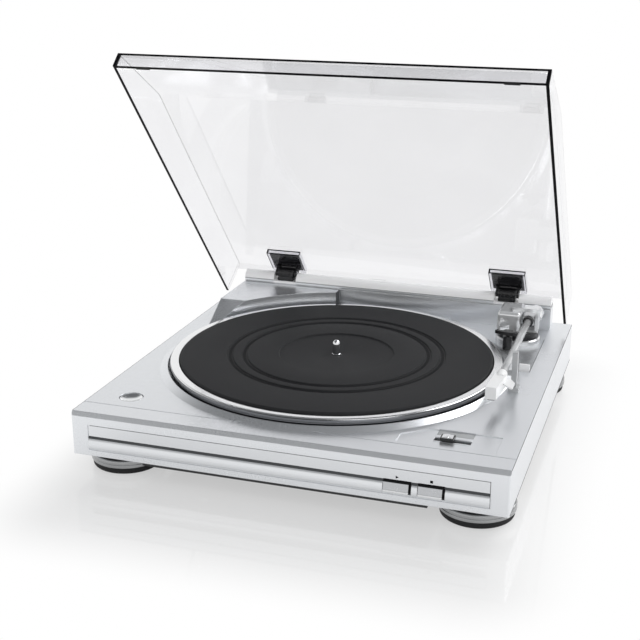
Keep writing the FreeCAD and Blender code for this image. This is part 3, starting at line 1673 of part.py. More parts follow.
def hinge_springs():
    """The coiled spring round each hinge pin, inside its base."""
    springs = []
    for name, side in (("left", -1), ("right", 1)):
        x = (side * S.hinge_x - S.spring_half_length, side * S.hinge_x + S.spring_half_length)
        whole = rod_x("spring_whole_" + name, x, hinge_line, S.spring_radius)
        bore = rod_x("spring_bore_" + name, x, hinge_line, S.spring_radius - S.spring_wire)
        springs.append(cut("hinge_spring_" + name, whole, bore))
    return group("hinge_springs", springs)


def hinge_pins():
    pins = [
        rod_x("hinge_pin_%s" % name,
              (side * S.hinge_x - S.hinge_pin_half, side * S.hinge_x + S.hinge_pin_half),
              hinge_line, S.hinge_pin_radius)
        for name, side in (("left", -1), ("right", 1))
    ]
    return group("hinge_pins", pins)


hinge_line = (fy(hinge_place), dz(S.hinge_height))
pivot_line = (fy(S.pivot_place), dz(S.pivot_height))
turret_z = (dz(S.ring_top) + S.loose_gap, dz(S.turret_top))
pin_depth = S.block_half_width - S.tube_radius - S.seat_gap
pivot_left = (S.housing_right - S.yoke_width, S.tube_x - S.block_half_width + pin_depth)
pivot_right = (S.tube_x + S.block_half_width - pin_depth, S.yoke_outer + S.seat_gap)
plate_z = (
    well_under - S.grommet_height - S.motor_plate_thickness,
    well_under - S.grommet_height,
)
cam_top = dz(-S.cam_top)
cue_pin_end = S.arm_recess_right + S.case_wall / 2
stem_front = fy(S.size_knob_front) + (S.size_knob_length - S.size_stem_length) / 2
size_stem_y = (stem_front, stem_front + S.size_stem_length)


def build():
    """Makes every piece, and gives them in the order in which they are written."""
    shaft_bottom = dz(-S.arm_bearing_bottom) - 2 * S.drive_lever_drop
    motor_shaft_z = (dz(-S.motor_bottom) + S.case_wall, dz(S.pulley_top))
    pieces = [
        top_case(),
        rear_housing(),
        front_panel(),
        hinge_rail(),
        bottom_cover(),
        screws("case_screws", cover_screws, (floor - S.cover_thickness, floor + S.screw_bite - S.seat_gap),
               (floor - S.cover_thickness - S.screw_head_height, floor - S.cover_thickness),
               S.screw_radius, S.screw_head_radius),
        foot_shells(),
        foot_pads(),
        screws("foot_screws", feet, (S.pad_height, floor + S.screw_bite - S.seat_gap),
               (S.pad_height - S.foot_screw_head_height, S.pad_height),
               S.foot_screw_radius, S.foot_screw_head),
        spindle_bearing(),
        bearing_ball(),
        spindle_shaft(),
        platter_disc(),
        platter_mat(),
        platter_pinion(),
        cam_gear(),
        motor_can(),
        motor_plate(),
        motor_grommets(),
        screws("motor_screws", motor_screws, (plate_z[0], well_floor - 2 * S.seat_gap),
               (plate_z[0] - S.screw_head_height, plate_z[0]), S.screw_radius, S.screw_head_radius),
        column("motor_shaft", motor, motor_shaft_z, S.motor_shaft_radius),
        motor_pulley(),
        drive_belt(),
        arm_base_ring(),
        sleeve("arm_bearing", arm, (dz(-S.arm_bearing_bottom), dz(S.ring_top)),
               S.arm_shaft_radius + S.running_gap, S.arm_bearing_radius),
        column("arm_shaft", arm, (shaft_bottom, turret_z[0]), S.arm_shaft_radius),
        column("arm_turret", arm, turret_z, S.turret_radius),
        pivot_housing(),
        arm_yoke(),
        arm_drive_lever(),
        pivot_screws(),
        pivot_block(),
        arm_tube(),
        tube_collar(),
        counterweight(),
        headshell(),
        cartridge(),
        stylus(),
        finger_lift(),
        arm_rest(),
        sleeve("lifter_bush", lifter, (recess_under, dz(S.bush_top)),
               S.stem_radius + S.running_gap, S.bush_radius),
        lifter_bar(),
        cue_lever(),
        push_button("start_button", S.start_left, S.start_width),
        push_button("stop_button", S.stop_left, S.stop_width),
        button_board(),
        speed_button(),
        speed_switch(),
        size_lever(),
        power_transformer(),
        group("lead_glands", [lead_gland("power_gland", S.power_gland_x),
                              lead_gland("signal_gland", S.signal_gland_x)]),
        dust_cover(),
        lid_bumpers(),
        hinge_pins(),
        hinge_springs(),
    ]
    pieces += [circuit_board(*board) for board in boards()]
    for name, maker in (("hinge_sockets", hinge_socket), ("hinge_leaves", hinge_leaf),
                        ("hinge_bases", hinge_base)):
        pieces.append(group(name, [maker(name, side) for name, side in (("left", -1), ("right", 1))]))
    return pieces


def check(pieces):
    """Stops if an object failed or a piece has no valid shape."""
    failed = [item.Name for item in doc.Objects if {"Invalid", "Error"} & set(item.State)]
    if failed:
        raise RuntimeError("failed: " + ", ".join(failed))
    for piece in pieces:
        if piece.Shape.isNull() or not piece.Shape.isValid() or not piece.Shape.Solids:
            raise RuntimeError("no valid shape: " + piece.Label)


def main():
    pieces = build()
    doc.recompute()
    check(pieces)
    os.makedirs("parts", exist_ok=True)
    for piece in pieces:
        piece.Shape.exportStep("parts/%s.step" % piece.Label)


main()
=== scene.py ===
import math

import bmesh
import bpy
import numpy as np
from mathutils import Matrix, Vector


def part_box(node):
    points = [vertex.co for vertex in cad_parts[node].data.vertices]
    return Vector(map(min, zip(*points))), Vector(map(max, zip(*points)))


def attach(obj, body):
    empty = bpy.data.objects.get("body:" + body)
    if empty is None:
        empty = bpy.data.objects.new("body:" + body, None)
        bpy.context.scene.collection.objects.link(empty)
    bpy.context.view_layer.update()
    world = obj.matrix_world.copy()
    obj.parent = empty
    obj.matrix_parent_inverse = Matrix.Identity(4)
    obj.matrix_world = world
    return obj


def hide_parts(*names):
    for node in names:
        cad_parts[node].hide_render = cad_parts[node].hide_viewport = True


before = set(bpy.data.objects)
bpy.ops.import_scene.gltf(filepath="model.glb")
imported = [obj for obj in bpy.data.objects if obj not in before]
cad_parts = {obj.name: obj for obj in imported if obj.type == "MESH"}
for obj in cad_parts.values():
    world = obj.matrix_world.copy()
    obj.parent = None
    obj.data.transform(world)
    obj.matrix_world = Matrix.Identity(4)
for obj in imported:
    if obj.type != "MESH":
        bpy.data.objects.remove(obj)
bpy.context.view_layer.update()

# Unless a comment says otherwise, lengths are millimetres from the middle of the case's front face,
# at the height of the deck, with x to the right, y to the back and z up. PLATTER is the middle
# of the platter in x and y, and LID_HINGE the line of the hinge pins in y and z.
FRONT = 1000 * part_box("top_case")[0].y
DECK = 55.5
PLATTER = (-9.0, 176.0)
LID_HINGE = (342.0, 28.0)
LID_OPEN = math.radians(48.8)
FULL_TURN = 256
SHARP_ANGLE = math.radians(32.0)


# Shapes

def to_metres(points):
    """Points in the part's frame: shifted to its origin on the table, then divided by 1000."""
    return (np.asarray(points, float) + (0.0, FRONT, DECK)) / 1000.0


def softened(corners, radius, steps=5, closed=True):
    """A polygon with rounded corners. Each corner becomes a parabola from the point one radius
    before it to the point one radius after it, or half the side where that is shorter."""
    corners = np.asarray(corners, float)
    radius = np.broadcast_to(np.asarray(radius, float), (len(corners),))[:, None]
    before = np.roll(corners, 1, 0) - corners
    after = np.roll(corners, -1, 0) - corners
    before_length = np.linalg.norm(before, axis=1, keepdims=True) + 1e-12
    after_length = np.linalg.norm(after, axis=1, keepdims=True) + 1e-12
    start = corners + before / before_length * np.minimum(radius, 0.49 * before_length)
    end = corners + after / after_length * np.minimum(radius, 0.49 * after_length)
    t = np.linspace(0, 1, steps + 1)[None, :, None]
    curve = (1 - t) ** 2 * start[:, None] + 2 * t * (1 - t) * corners[:, None] + t ** 2 * end[:, None]
    if not closed:
        curve[0], curve[-1] = corners[0], corners[-1]
    return curve.reshape(-1, corners.shape[1])


def rectangle(width, depth, corner, middle=(0.0, 0.0), steps=5):
    """A rounded rectangle round a middle point."""
    half = np.array([[-1, -1], [1, -1], [1, 1], [-1, 1]]) * (width / 2, depth / 2)
    return softened(half + middle, corner, steps)


def circle(radius, middle=(0.0, 0.0), count=64):
    """Points at equal angles on a circle."""
    angle = np.linspace(0, 2 * np.pi, count, endpoint=False)
    return np.stack([np.cos(angle), np.sin(angle)], 1) * radius + middle


def inset(outline, distance):
    """The outline moved inwards: each point goes along the mean of its two sides' normals."""
    along = np.roll(outline, -1, 0) - np.roll(outline, 1, 0)
    along /= np.linalg.norm(along, axis=1, keepdims=True) + 1e-12
    inwards = np.stack([-along[:, 1], along[:, 0]], 1)
    return outline + inwards * distance


def edge_levels(low, high, radius, steps=4):
    """(inset, height) pairs up a wall whose two edges are quarter circles of that radius."""
    turn = np.linspace(0, np.pi / 2, steps + 1)
    start = np.stack([radius * (1 - np.sin(turn)), low + radius * (1 - np.cos(turn))], 1)
    end = start[::-1] * (1, -1) + (0, low + high)
    return np.concatenate([start, end])


def grid_faces(rows, columns, wrap_rows=False):
    """Quads between neighbouring points of a grid whose columns close on themselves."""
    row = np.arange(rows if wrap_rows else rows - 1)[:, None]
    below = (row + 1) % rows
    column = np.arange(columns)[None, :]
    after = (column + 1) % columns
    quads = [row * columns + column, row * columns + after,
             below * columns + after, below * columns + column]
    return np.stack(quads, -1).reshape(-1, 4)


def make_mesh(name, points, faces):
    """A mesh from points in millimetres and its faces, turned outwards where their signed
    volume is negative, and smooth wherever faces meet at less than the sharp angle."""
    triangles = np.array([(face[0], face[i], face[i + 1])
                          for face in faces for i in range(1, len(face) - 1)])
    a, b, c = (points[triangles[:, k]] - points.mean(0) for k in range(3))
    if np.einsum("ij,ij->i", a, np.cross(b, c)).sum() < 0:
        faces = [tuple(face)[::-1] for face in faces]
    mesh = bpy.data.meshes.new(name)
    mesh.from_pydata(to_metres(points).tolist(), [], [tuple(int(i) for i in face) for face in faces])
    mesh.polygons.foreach_set("use_smooth", np.ones(len(mesh.polygons), bool))
    mesh.set_sharp_from_angle(angle=SHARP_ANGLE)
    mesh.update()
    return mesh


def skin(loops, wrap=False):
    """Points and faces over a stack of closed loops, with a flat fan over each end."""
    loops = np.asarray(loops, float)
    rows, columns = loops.shape[:2]
    points = loops.reshape(-1, 3)
    quads = grid_faces(rows, columns, wrap)
    if wrap:
        return points, quads
    column = np.arange(columns)
    after = (column + 1) % columns
    count = len(points)
    last = (rows - 1) * columns
    ends = np.concatenate([
        np.stack([after, column, column * 0 + count, column * 0 + count], 1),
        np.stack([last + column, last + after, column * 0 + count + 1, column * 0 + count + 1], 1),
    ])
    points = np.concatenate([points, loops[0].mean(0)[None], loops[-1].mean(0)[None]])
    return points, [tuple(q) for q in quads] + [tuple(q[:3]) for q in ends]


def joined(parts):
    """Several sets of points and faces as one."""
    points, faces, count = [], [], 0
    for part_points, part_faces in parts:
        faces += [tuple(int(i) + count for i in face) for face in part_faces]
        points.append(part_points)
        count += len(part_points)
    return np.concatenate(points), faces


def turned(centre, profile, segments=128, wrap=False):
    """A profile of (radius, height) pairs turned round the upright axis through the centre."""
    profile = np.asarray(profile, float)
    angle = np.linspace(0, 2 * np.pi, segments, endpoint=False)
    x = centre[0] + profile[:, :1] * np.cos(angle)
    y = centre[1] + profile[:, :1] * np.sin(angle)
    z = np.repeat(profile[:, 1:], segments, 1)
    return skin(np.stack([x, y, z], -1), wrap)


def stacked(outline, levels):
    """An outline in x and y lifted through (inset, height) levels."""
    loops = [np.column_stack([inset(outline, gap), np.full(len(outline), height)])
             for gap, height in levels]
    return skin(loops)


def lying(part, order, place=(0, 0, 0)):
    """A part built upright and laid over, by taking its x, y and z in another order, then moved
    by the place."""
    points, faces = part
    return points[:, list(order)] + place, faces


def brick(x, y, z, corner=0.3, edge=0.15):
    """A block between pairs of places: a rounded rectangle lifted through softened rims."""
    outline = rectangle(x[1] - x[0], y[1] - y[0], corner, ((x[0] + x[1]) / 2, (y[0] + y[1]) / 2))
    return stacked(outline, edge_levels(z[0], z[1], edge))


def bar(profile, x):
    """A closed outline of (y, z) points carried straight along x, between the two places."""
    profile = np.asarray(profile, float)
    return skin([np.column_stack([np.full(len(profile), place), profile]) for place in x])


def opened(part):
    """A part given as in the closed cover, turned about the hinge line to the open cover."""
    points, faces = part
    y, z = points[:, 1] - LID_HINGE[0], points[:, 2] - LID_HINGE[1]
    open_y = y * math.cos(LID_OPEN) + z * math.sin(LID_OPEN)
    open_z = -y * math.sin(LID_OPEN) + z * math.cos(LID_OPEN)
    return np.column_stack([points[:, 0], open_y + LID_HINGE[0], open_z + LID_HINGE[1]]), faces


def along(part, start, end):
    """A part built up the z axis from 0 moved so that z runs from the start to the end point."""
    points, faces = part
    start, end = np.asarray(start, float), np.asarray(end, float)
    axis = (end - start) / np.linalg.norm(end - start)
    side = np.cross(axis, (0, 0, 1.0))
    side /= np.linalg.norm(side)
    up = np.cross(side, axis)
    return start + points[:, :1] * side + points[:, 1:2] * up + points[:, 2:] * axis, faces


def made_at(places, shape):
    """One shape made at each of the places."""
    return joined([shape(place) for place in places])


def linked(name, data):
    """A new object that holds the data, in the scene."""
    item = bpy.data.objects.new(name, data)
    bpy.context.scene.collection.objects.link(item)
    return item


def piece(name, part, body, material, replaces=()):
    """An object of the part's points and faces, on its body, standing for the named nodes."""
    mesh = make_mesh(name, *part)
    mesh.materials.append(material)
    item = linked(name, mesh)
    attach(item, body)
    if replaces:
        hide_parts(*replaces)


# Finishes

def new_finish(name):
    """A material, and its nodes, links and shader."""
    material = bpy.data.materials.new(name)
    material.use_nodes = True
    nodes = material.node_tree.nodes
    return material, nodes, material.node_tree.links, nodes["Principled BSDF"]


def worked_out(nodes, links, operation, *values, kind="ShaderNodeMath"):
    """The result of a maths node whose values are numbers, vectors or other nodes' outputs."""
    node = nodes.new(kind)
    node.operation = operation
    for socket, value in zip(node.inputs, values):
        if isinstance(value, bpy.types.NodeSocket):
            links.new(value, socket)
        else:
            socket.default_value = value
    return node.outputs["Value"] if operation == "LENGTH" else node.outputs[0]


def noise(nodes, links, scale, detail=3.0, stretch=(1, 1, 1)):
    """A noise of that many waves to the metre over the object's own coordinates."""
    place = nodes.new("ShaderNodeTexCoord")
    mapping = nodes.new("ShaderNodeMapping")
    mapping.inputs["Scale"].default_value = stretch
    texture = nodes.new("ShaderNodeTexNoise")
    texture.inputs["Scale"].default_value = scale
    texture.inputs["Detail"].default_value = detail
    links.new(place.outputs["Object"], mapping.inputs["Vector"])
    links.new(mapping.outputs["Vector"], texture.inputs["Vector"])
    return texture.outputs["Fac"]


def spread(nodes, links, value, low, high):
    """A value from a texture's middle range brought to between low and high."""
    scale = nodes.new("ShaderNodeMapRange")
    scale.inputs["From Min"].default_value = 0.3
    scale.inputs["From Max"].default_value = 0.7
    scale.inputs["To Min"].default_value = low
    scale.inputs["To Max"].default_value = high
    links.new(value, scale.inputs["Value"])
    return scale.outputs["Result"]


def tinted(nodes, links, value, colour, change):
    """The colour, darker and lighter by that share as the value goes from low to high."""
    mix = nodes.new("ShaderNodeMix")
    mix.data_type = "RGBA"
    colour = np.array(colour, float)
    mix.inputs["A"].default_value = (*np.clip(colour * (1 - change), 0, 1), 1)
    mix.inputs["B"].default_value = (*np.clip(colour * (1 + change), 0, 1), 1)
    links.new(spread(nodes, links, value, 0, 1), mix.inputs["Factor"])
    return mix.outputs["Result"]


def finish(name, colour, metallic=0.0, rough=0.5, rough_change=0.06, grain=1500.0, depth=0.02,
           mottle=35.0, change=0.03, edge=0.0, stretch=(1, 1, 1), rings=None, **sockets):
    """A finish with a fine grain in its bump, a broad mottle in its colour and both in its
    roughness. grain and mottle are waves to the metre, and depth is the grain's height in
    millimetres. edge rounds the look of hard edges, in millimetres. rings adds fine turning
    marks round an upright axis, as (x, y, marks to the metre, share of the bump)."""
    material, nodes, links, shader = new_finish(name)
    fine = noise(nodes, links, grain, 2.0, stretch)
    broad = noise(nodes, links, mottle, 4.0)
    links.new(tinted(nodes, links, broad, colour, change), shader.inputs["Base Color"])
    fine_share, broad_share = 0.4, 0.6
    part_of_broad = worked_out(nodes, links, "MULTIPLY", broad, broad_share)
    blend = worked_out(nodes, links, "MULTIPLY_ADD", fine, fine_share, part_of_broad)
    links.new(spread(nodes, links, blend, rough - rough_change, rough + rough_change),
              shader.inputs["Roughness"])
    height = fine
    if rings:
        place = nodes.new("ShaderNodeTexCoord")
        mapping = nodes.new("ShaderNodeMapping")
        mapping.inputs["Location"].default_value = tuple(-v for v in to_metres((*rings[:2], 0)))
        wave = nodes.new("ShaderNodeTexWave")
        wave.wave_type = "RINGS"
        wave.rings_direction = "Z"
        wave.inputs["Scale"].default_value = rings[2]
        wave.inputs["Distortion"].default_value = 0.4
        wave.inputs["Detail"].default_value = 2.0
        links.new(place.outputs["Object"], mapping.inputs["Vector"])
        links.new(mapping.outputs["Vector"], wave.inputs["Vector"])
        height = worked_out(nodes, links, "MULTIPLY_ADD", wave.outputs["Fac"], rings[3], fine)
    bump = nodes.new("ShaderNodeBump")
    bump.inputs["Distance"].default_value = depth / 1000.0
    bump.inputs["Strength"].default_value = 1.0
    links.new(height, bump.inputs["Height"])
    if edge:
        soft = nodes.new("ShaderNodeBevel")
        soft.samples = 4
        soft.inputs["Radius"].default_value = edge / 1000.0
        links.new(soft.outputs["Normal"], bump.inputs["Normal"])
    links.new(bump.outputs["Normal"], shader.inputs["Normal"])
    shader.inputs["Metallic"].default_value = metallic
    for socket, value in sockets.items():
        shader.inputs[socket.replace("_", " ")].default_value = value
    return material


def clear_finish(name, tint, rough=0.02, head_on=0.04):
    """Clear plastic: a tinted see-through layer under a gloss. The gloss is head_on of the light
    where the surface faces the eye, and grows with the fifth power towards a grazing view."""
    material, nodes, links, shader = new_finish(name)
    haze = noise(nodes, links, 12.0, 3.0)
    facing = nodes.new("ShaderNodeLayerWeight")
    facing.inputs["Blend"].default_value = 0.5
    power = worked_out(nodes, links, "POWER", facing.outputs["Facing"], 5.0)
    share = worked_out(nodes, links, "MULTIPLY_ADD", power, 1.0 - head_on, head_on)
    links.new(spread(nodes, links, haze, rough * 0.6, rough * 1.4), shader.inputs["Roughness"])
    shader.inputs["Base Color"].default_value = (1, 1, 1, 1)
    shader.inputs["Metallic"].default_value = 1.0
    see = nodes.new("ShaderNodeBsdfTransparent")
    links.new(tinted(nodes, links, haze, tint, 0.008), see.inputs["Color"])
    mix = nodes.new("ShaderNodeMixShader")
    links.new(share, mix.inputs["Fac"])
    links.new(see.outputs[0], mix.inputs[1])
    links.new(shader.outputs[0], mix.inputs[2])
    links.new(mix.outputs[0], nodes["Material Output"].inputs["Surface"])
    return material


# After its name and colour, a finish's numbers are its metallic share, roughness and change of
# roughness, then grain, depth, mottle, change of colour and edge, as finish describes them.
silver_paint = finish("silver_paint", (0.79, 0.807, 0.83), 0.86, 0.28, 0.03, 3500, 0.004, 6, 0.012, 0.5)
panel_metal = finish("panel_metal", (0.75, 0.765, 0.785), 0.92, 0.22, 0.03, 3000, 0.002, 8, 0.012, 0.3,
                     stretch=(0.3, 1, 3))
rail_gloss = finish("rail_gloss", (0.97, 0.97, 0.975), 0.0, 0.2, 0.03, 2500, 0.002, 8, 0.01, 0.4)
arm_gloss = finish("arm_gloss", (0.80, 0.81, 0.82), 0.5, 0.14, 0.04, 2500, 0.003, 12, 0.015, 0.4)
cover_clear = clear_finish("cover_clear", (0.955, 0.955, 0.962), 0.02, 0.05)
socket_clear = clear_finish("socket_clear", (0.86, 0.86, 0.88), 0.05)
# A near-black finish for the clear cover's and the sockets' edges: painted shade where clear edges look
# dark.
painted_dark_edge = finish("cover_painted_dark_edge", (0.004, 0.004, 0.005), 0.0, 0.4, 0.05, 800, 0.004, 30, 0.2,
                  Specular_IOR_Level=0.08)
# Black for printed marks, and painted shade: dark sheets in the mat's sunk rings, behind the buttons and on
# the selector channel's floor.
print_and_painted_shade_black = finish("print_and_painted_shade_black", (0.006, 0.006, 0.007), 0.0, 0.6, 0.05, 900, 0.01, 60, 0.2,
                   Specular_IOR_Level=0.1)
black_moulding = finish("black_moulding", (0.012, 0.012, 0.013), 0.0, 0.24, 0.06, 1800, 0.008, 30, 0.2, 0.4)
black_gloss = finish("black_gloss", (0.006, 0.006, 0.007), 0.0, 0.1, 0.03, 900, 0.004, 60, 0.2, 0.4)
mat_rubber = finish("mat_rubber", (0.0215, 0.022, 0.0235), 0.0, 0.6, 0.06, 2600, 0.02, 14, 0.10, 0.0,
                    rings=(*PLATTER, 260.0, 0.8), Specular_IOR_Level=0.14)
pad_rubber = finish("pad_rubber", (0.014, 0.014, 0.015), 0.0, 0.6, 0.08, 1500, 0.03, 30, 0.15, 0.4,
                    Specular_IOR_Level=0.25)
belt_rubber = finish("belt_rubber", (0.018, 0.018, 0.018), 0.0, 0.55, 0.08, 1800, 0.02, 30, 0.15, 0.2)
spun_aluminium = finish("spun_aluminium", (0.84, 0.845, 0.85), 1.0, 0.14, 0.05, 2500, 0.003, 20, 0.02,
                        rings=(*PLATTER, 900.0, 0.7), Anisotropic=0.6)
pulley_metal = finish("pulley_metal", (0.80, 0.79, 0.77), 1.0, 0.25, 0.06, 2500, 0.006, 60, 0.04)
foot_paint = finish("foot_paint", (0.36, 0.365, 0.37), 1.0, 0.18, 0.05, 3000, 0.004, 30, 0.03)
chrome = finish("button_chrome", (0.80, 0.81, 0.82), 1.0, 0.16, 0.04, 1500, 0.002, 60, 0.02, 0.3)
polished_steel = finish("polished_steel", (0.72, 0.73, 0.74), 1.0, 0.08, 0.03, 1500, 0.001, 60, 0.02)
tube_metal = finish("tube_metal", (0.90, 0.91, 0.92), 0.55, 0.16, 0.05, 2200, 0.003, 60, 0.02,
                    stretch=(6, 0.4, 6))
white_moulding = finish("white_moulding", (0.88, 0.885, 0.89), 0.0, 0.34, 0.05, 2200, 0.006, 30, 0.02, 0.4)
grey_moulding = finish("grey_moulding", (0.44, 0.45, 0.46), 0.3, 0.36, 0.05, 2200, 0.008, 30, 0.02, 0.5)
zinc = finish("zinc_plating", (0.56, 0.57, 0.58), 1.0, 0.34, 0.08, 900, 0.01, 45, 0.08, 0.2)
brass = finish("sintered_brass", (0.60, 0.44, 0.18), 1.0, 0.38, 0.08, 1400, 0.012, 60, 0.10, 0.2)
board = finish("circuit_board", (0.015, 0.10, 0.045), 0.0, 0.35, 0.08, 500, 0.02, 260, 0.35, 0.2)
needle_metal = finish("needle_metal", (0.45, 0.46, 0.48), 1.0, 0.2, 0.05, 2500, 0.002, 60, 0.03)
under_moulding = finish("under_moulding", (0.022, 0.022, 0.023), 0.0, 0.5, 0.07, 900, 0.04, 25, 0.15, 0.4)
can_steel = finish("motor_can_steel", (0.50, 0.50, 0.51), 1.0, 0.3, 0.07, 1200, 0.008, 40, 0.06, 0.3)
# Dark grey for seam and edge lines, and for painted shade in the front panel's gap and groove and along the
# case's lower side edges.
seam_and_painted_shade_grey = finish("seam_and_painted_shade_grey", (0.075, 0.078, 0.082), 0.0, 0.6, 0.05, 900, 0.01, 60, 0.1,
                     Specular_IOR_Level=0.2)
# A dark metal for the platter's side band: a painted reflection of the dark surroundings that its polished
# side mirrors.
painted_dark_band_metal = finish("painted_dark_platter_band", (0.17, 0.175, 0.185), 1.0, 0.2, 0.05, 2500, 0.003, 20, 0.05,
                    rings=(*PLATTER, 900.0, 0.7))
# A darker metal for the buttons' faces than for their lips: painted shade on the face of one metal button.
shaded_button_metal = finish("button_face_painted_shade", (0.50, 0.51, 0.525), 0.9, 0.26, 0.04, 2500, 0.003, 40, 0.03, 0.2)
nylon = finish("gear_nylon", (0.05, 0.05, 0.052), 0.0, 0.42, 0.06, 1500, 0.012, 30, 0.12, 0.2)

NODE_FINISH = {
    silver_paint: ["top_case", "rear_housing"],
    panel_metal: ["front_panel"],
    rail_gloss: ["hinge_rail"],
    arm_gloss: ["pivot_housing", "arm_yoke", "arm_base_ring", "pivot_block"],
    cover_clear: ["dust_cover"],
    socket_clear: ["hinge_sockets"],
    black_moulding: ["arm_turret", "tube_collar", "hinge_leaves", "hinge_bases", "lead_glands",
                     "cartridge", "lifter_bush", "lifter_bar"],
    under_moulding: ["bottom_cover", "speed_switch", "arm_drive_lever"],
    nylon: ["cam_gear", "platter_pinion"],
    mat_rubber: ["platter_mat"],
    pad_rubber: ["foot_pads", "motor_grommets", "lid_bumpers"],
    belt_rubber: ["drive_belt"],
    spun_aluminium: ["platter"],
    pulley_metal: ["motor_pulley"],
    foot_paint: ["foot_shells"],
    chrome: ["speed_button", "size_lever", "start_button", "stop_button"],
    polished_steel: ["spindle_shaft", "motor_shaft", "arm_shaft", "bearing_ball"],
    tube_metal: ["arm_tube", "counterweight"],
    white_moulding: ["headshell", "finger_lift", "cue_lever"],
    grey_moulding: ["arm_rest"],
    zinc: ["case_screws", "foot_screws", "motor_screws", "pivot_screws", "hinge_pins",
           "hinge_springs", "motor_plate", "power_transformer"],
    can_steel: ["motor_can"],
    brass: ["spindle_bearing", "arm_bearing"],
    board: ["servo_board", "phono_board", "button_board"],
    needle_metal: ["stylus"],
}
for material, names in NODE_FINISH.items():
    for name in names:
        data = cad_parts[name].data
        data.materials.clear()
        data.materials.append(material)


# Platter and mat

def platter_casting():
    """The platter: a cast disc under a spun rim, with a drum below that the belt runs on."""
    rim = [
        (3.75, 6.5), (137.4, 6.5), (140.3, 6.6), (141.2, 8.0), (147.3, 8.0), (148.3, 7.6),
        (149.0, 6.4), (149.0, 2.9), (148.5, 2.6), (148.5, 1.9), (149.0, 1.6), (149.0, -2.0),
        (145.5, -2.0), (145.5, 4.0), (88.0, 4.0), (88.0, -5.0), (84.5, -5.0), (84.5, 4.0),
        (12.0, 4.0), (3.75, 4.0),
    ]
    radius = [0.2, 0.3, 0.3, 0.35, 0.5, 0.5, 0.5, 0.1, 0.1, 0.1, 0.1, 0.5, 0.5, 0.5, 0.8, 0.6, 0.6,
              0.8, 0.4, 0.2]
    return turned(PLATTER, softened(rim, radius, 4), FULL_TURN, wrap=True)


def mat_disc():
    """The mat: a turned profile with a sunk label area, two sunk rings and a soft rim."""
    top, low, under = 9.7, 8.5, 6.55
    profile = [
        (4.0, under), (4.0, low), (51.3, low), (51.9, top),
        (79.8, top), (80.3, low), (85.1, low), (85.6, top),
        (92.6, top), (93.1, low), (97.9, low), (98.4, top),
        (138.9, top), (140.1, 8.9), (140.1, under + 0.1), (139.4, under),
    ]
    radius = [0.2, 0.3] + [0.3] * 10 + [0.9, 0.9, 0.2, 0.2]
    return turned(PLATTER, softened(profile, radius, 4), FULL_TURN, wrap=True)


def painted_dark_platter_band():
    """The turned band round the platter's side, with a bead at its top and bottom. Its dark metal is a
    painted reflection: the dark look of the polished side.
    """
    wall = [(147.8, -1.9), (149.05, -1.9), (149.15, -1.2), (149.05, 1.2), (149.15, 1.7), (149.15, 3.9),
            (149.05, 4.3), (149.15, 4.7), (149.15, 6.4), (148.6, 7.3), (147.8, 7.3)]
    return turned(PLATTER, softened(wall, 0.15, 3), FULL_TURN, wrap=True)


def ring_floor(ring):
    """A dark sheet on the floor of one of the mat's sunk rings, a hair above the rubber: painted shade in
    the groove.
    """
    inner, outer = ring
    low, high = 8.45, 8.53
    profile = [(inner, low), (outer, low), (outer, high), (inner, high)]
    return turned(PLATTER, profile, 192, wrap=True)


SUNK_RINGS = [(81.5, 84.0), (94.3, 96.8)]
piece("platter_casting", platter_casting(), "platter_body", spun_aluminium, ["platter"])
piece("painted_dark_platter_band", painted_dark_platter_band(), "platter_body", painted_dark_band_metal)
piece("rubber_mat", mat_disc(), "platter_body", mat_rubber, ["platter_mat"])
piece("mat_ring_floors", made_at(SUNK_RINGS, ring_floor), "platter_body", print_and_painted_shade_black)


# Cover

def cover_shell():
    """The clear cover's own mesh, copied from its node with the loose triangles merged."""
    work = bmesh.new()
    work.from_mesh(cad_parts["dust_cover"].data)
    bmesh.ops.remove_doubles(work, verts=work.verts, dist=1e-6)
    bmesh.ops.dissolve_limit(work, angle_limit=math.radians(0.5), verts=work.verts, edges=work.edges)
    mesh = bpy.data.meshes.new("clear_cover")
    work.to_mesh(mesh)
    work.free()
    for name in [a.name for a in mesh.attributes if "normal" in a.name]:
        mesh.attributes.remove(mesh.attributes[name])
    mesh.materials.clear()
    mesh.materials.append(cover_clear)
    mesh.materials.append(painted_dark_edge)
    return mesh


def closed_place(points):
    """Points of the open cover, in metres, turned back about the hinge to the closed cover,
    in millimetres from the front of the case and the deck."""
    place = 1000.0 * points - (0.0, FRONT, DECK)
    y, z = place[:, 1] - LID_HINGE[0], place[:, 2] - LID_HINGE[1]
    back_y = y * math.cos(LID_OPEN) - z * math.sin(LID_OPEN)
    back_z = y * math.sin(LID_OPEN) + z * math.cos(LID_OPEN)
    return np.column_stack([place[:, 0], back_y + LID_HINGE[0], back_z + LID_HINGE[1]])


# The rim lies below RIM_HEIGHT in the closed cover. The first two bevels are shares of the widest,
# which is in metres.
RIM_HEIGHT = 1.6
RIM_BEVEL, EDGE_BEVEL, WIDEST_BEVEL = 0.12, 0.05, 0.0022
LONG_EDGE = 100.0


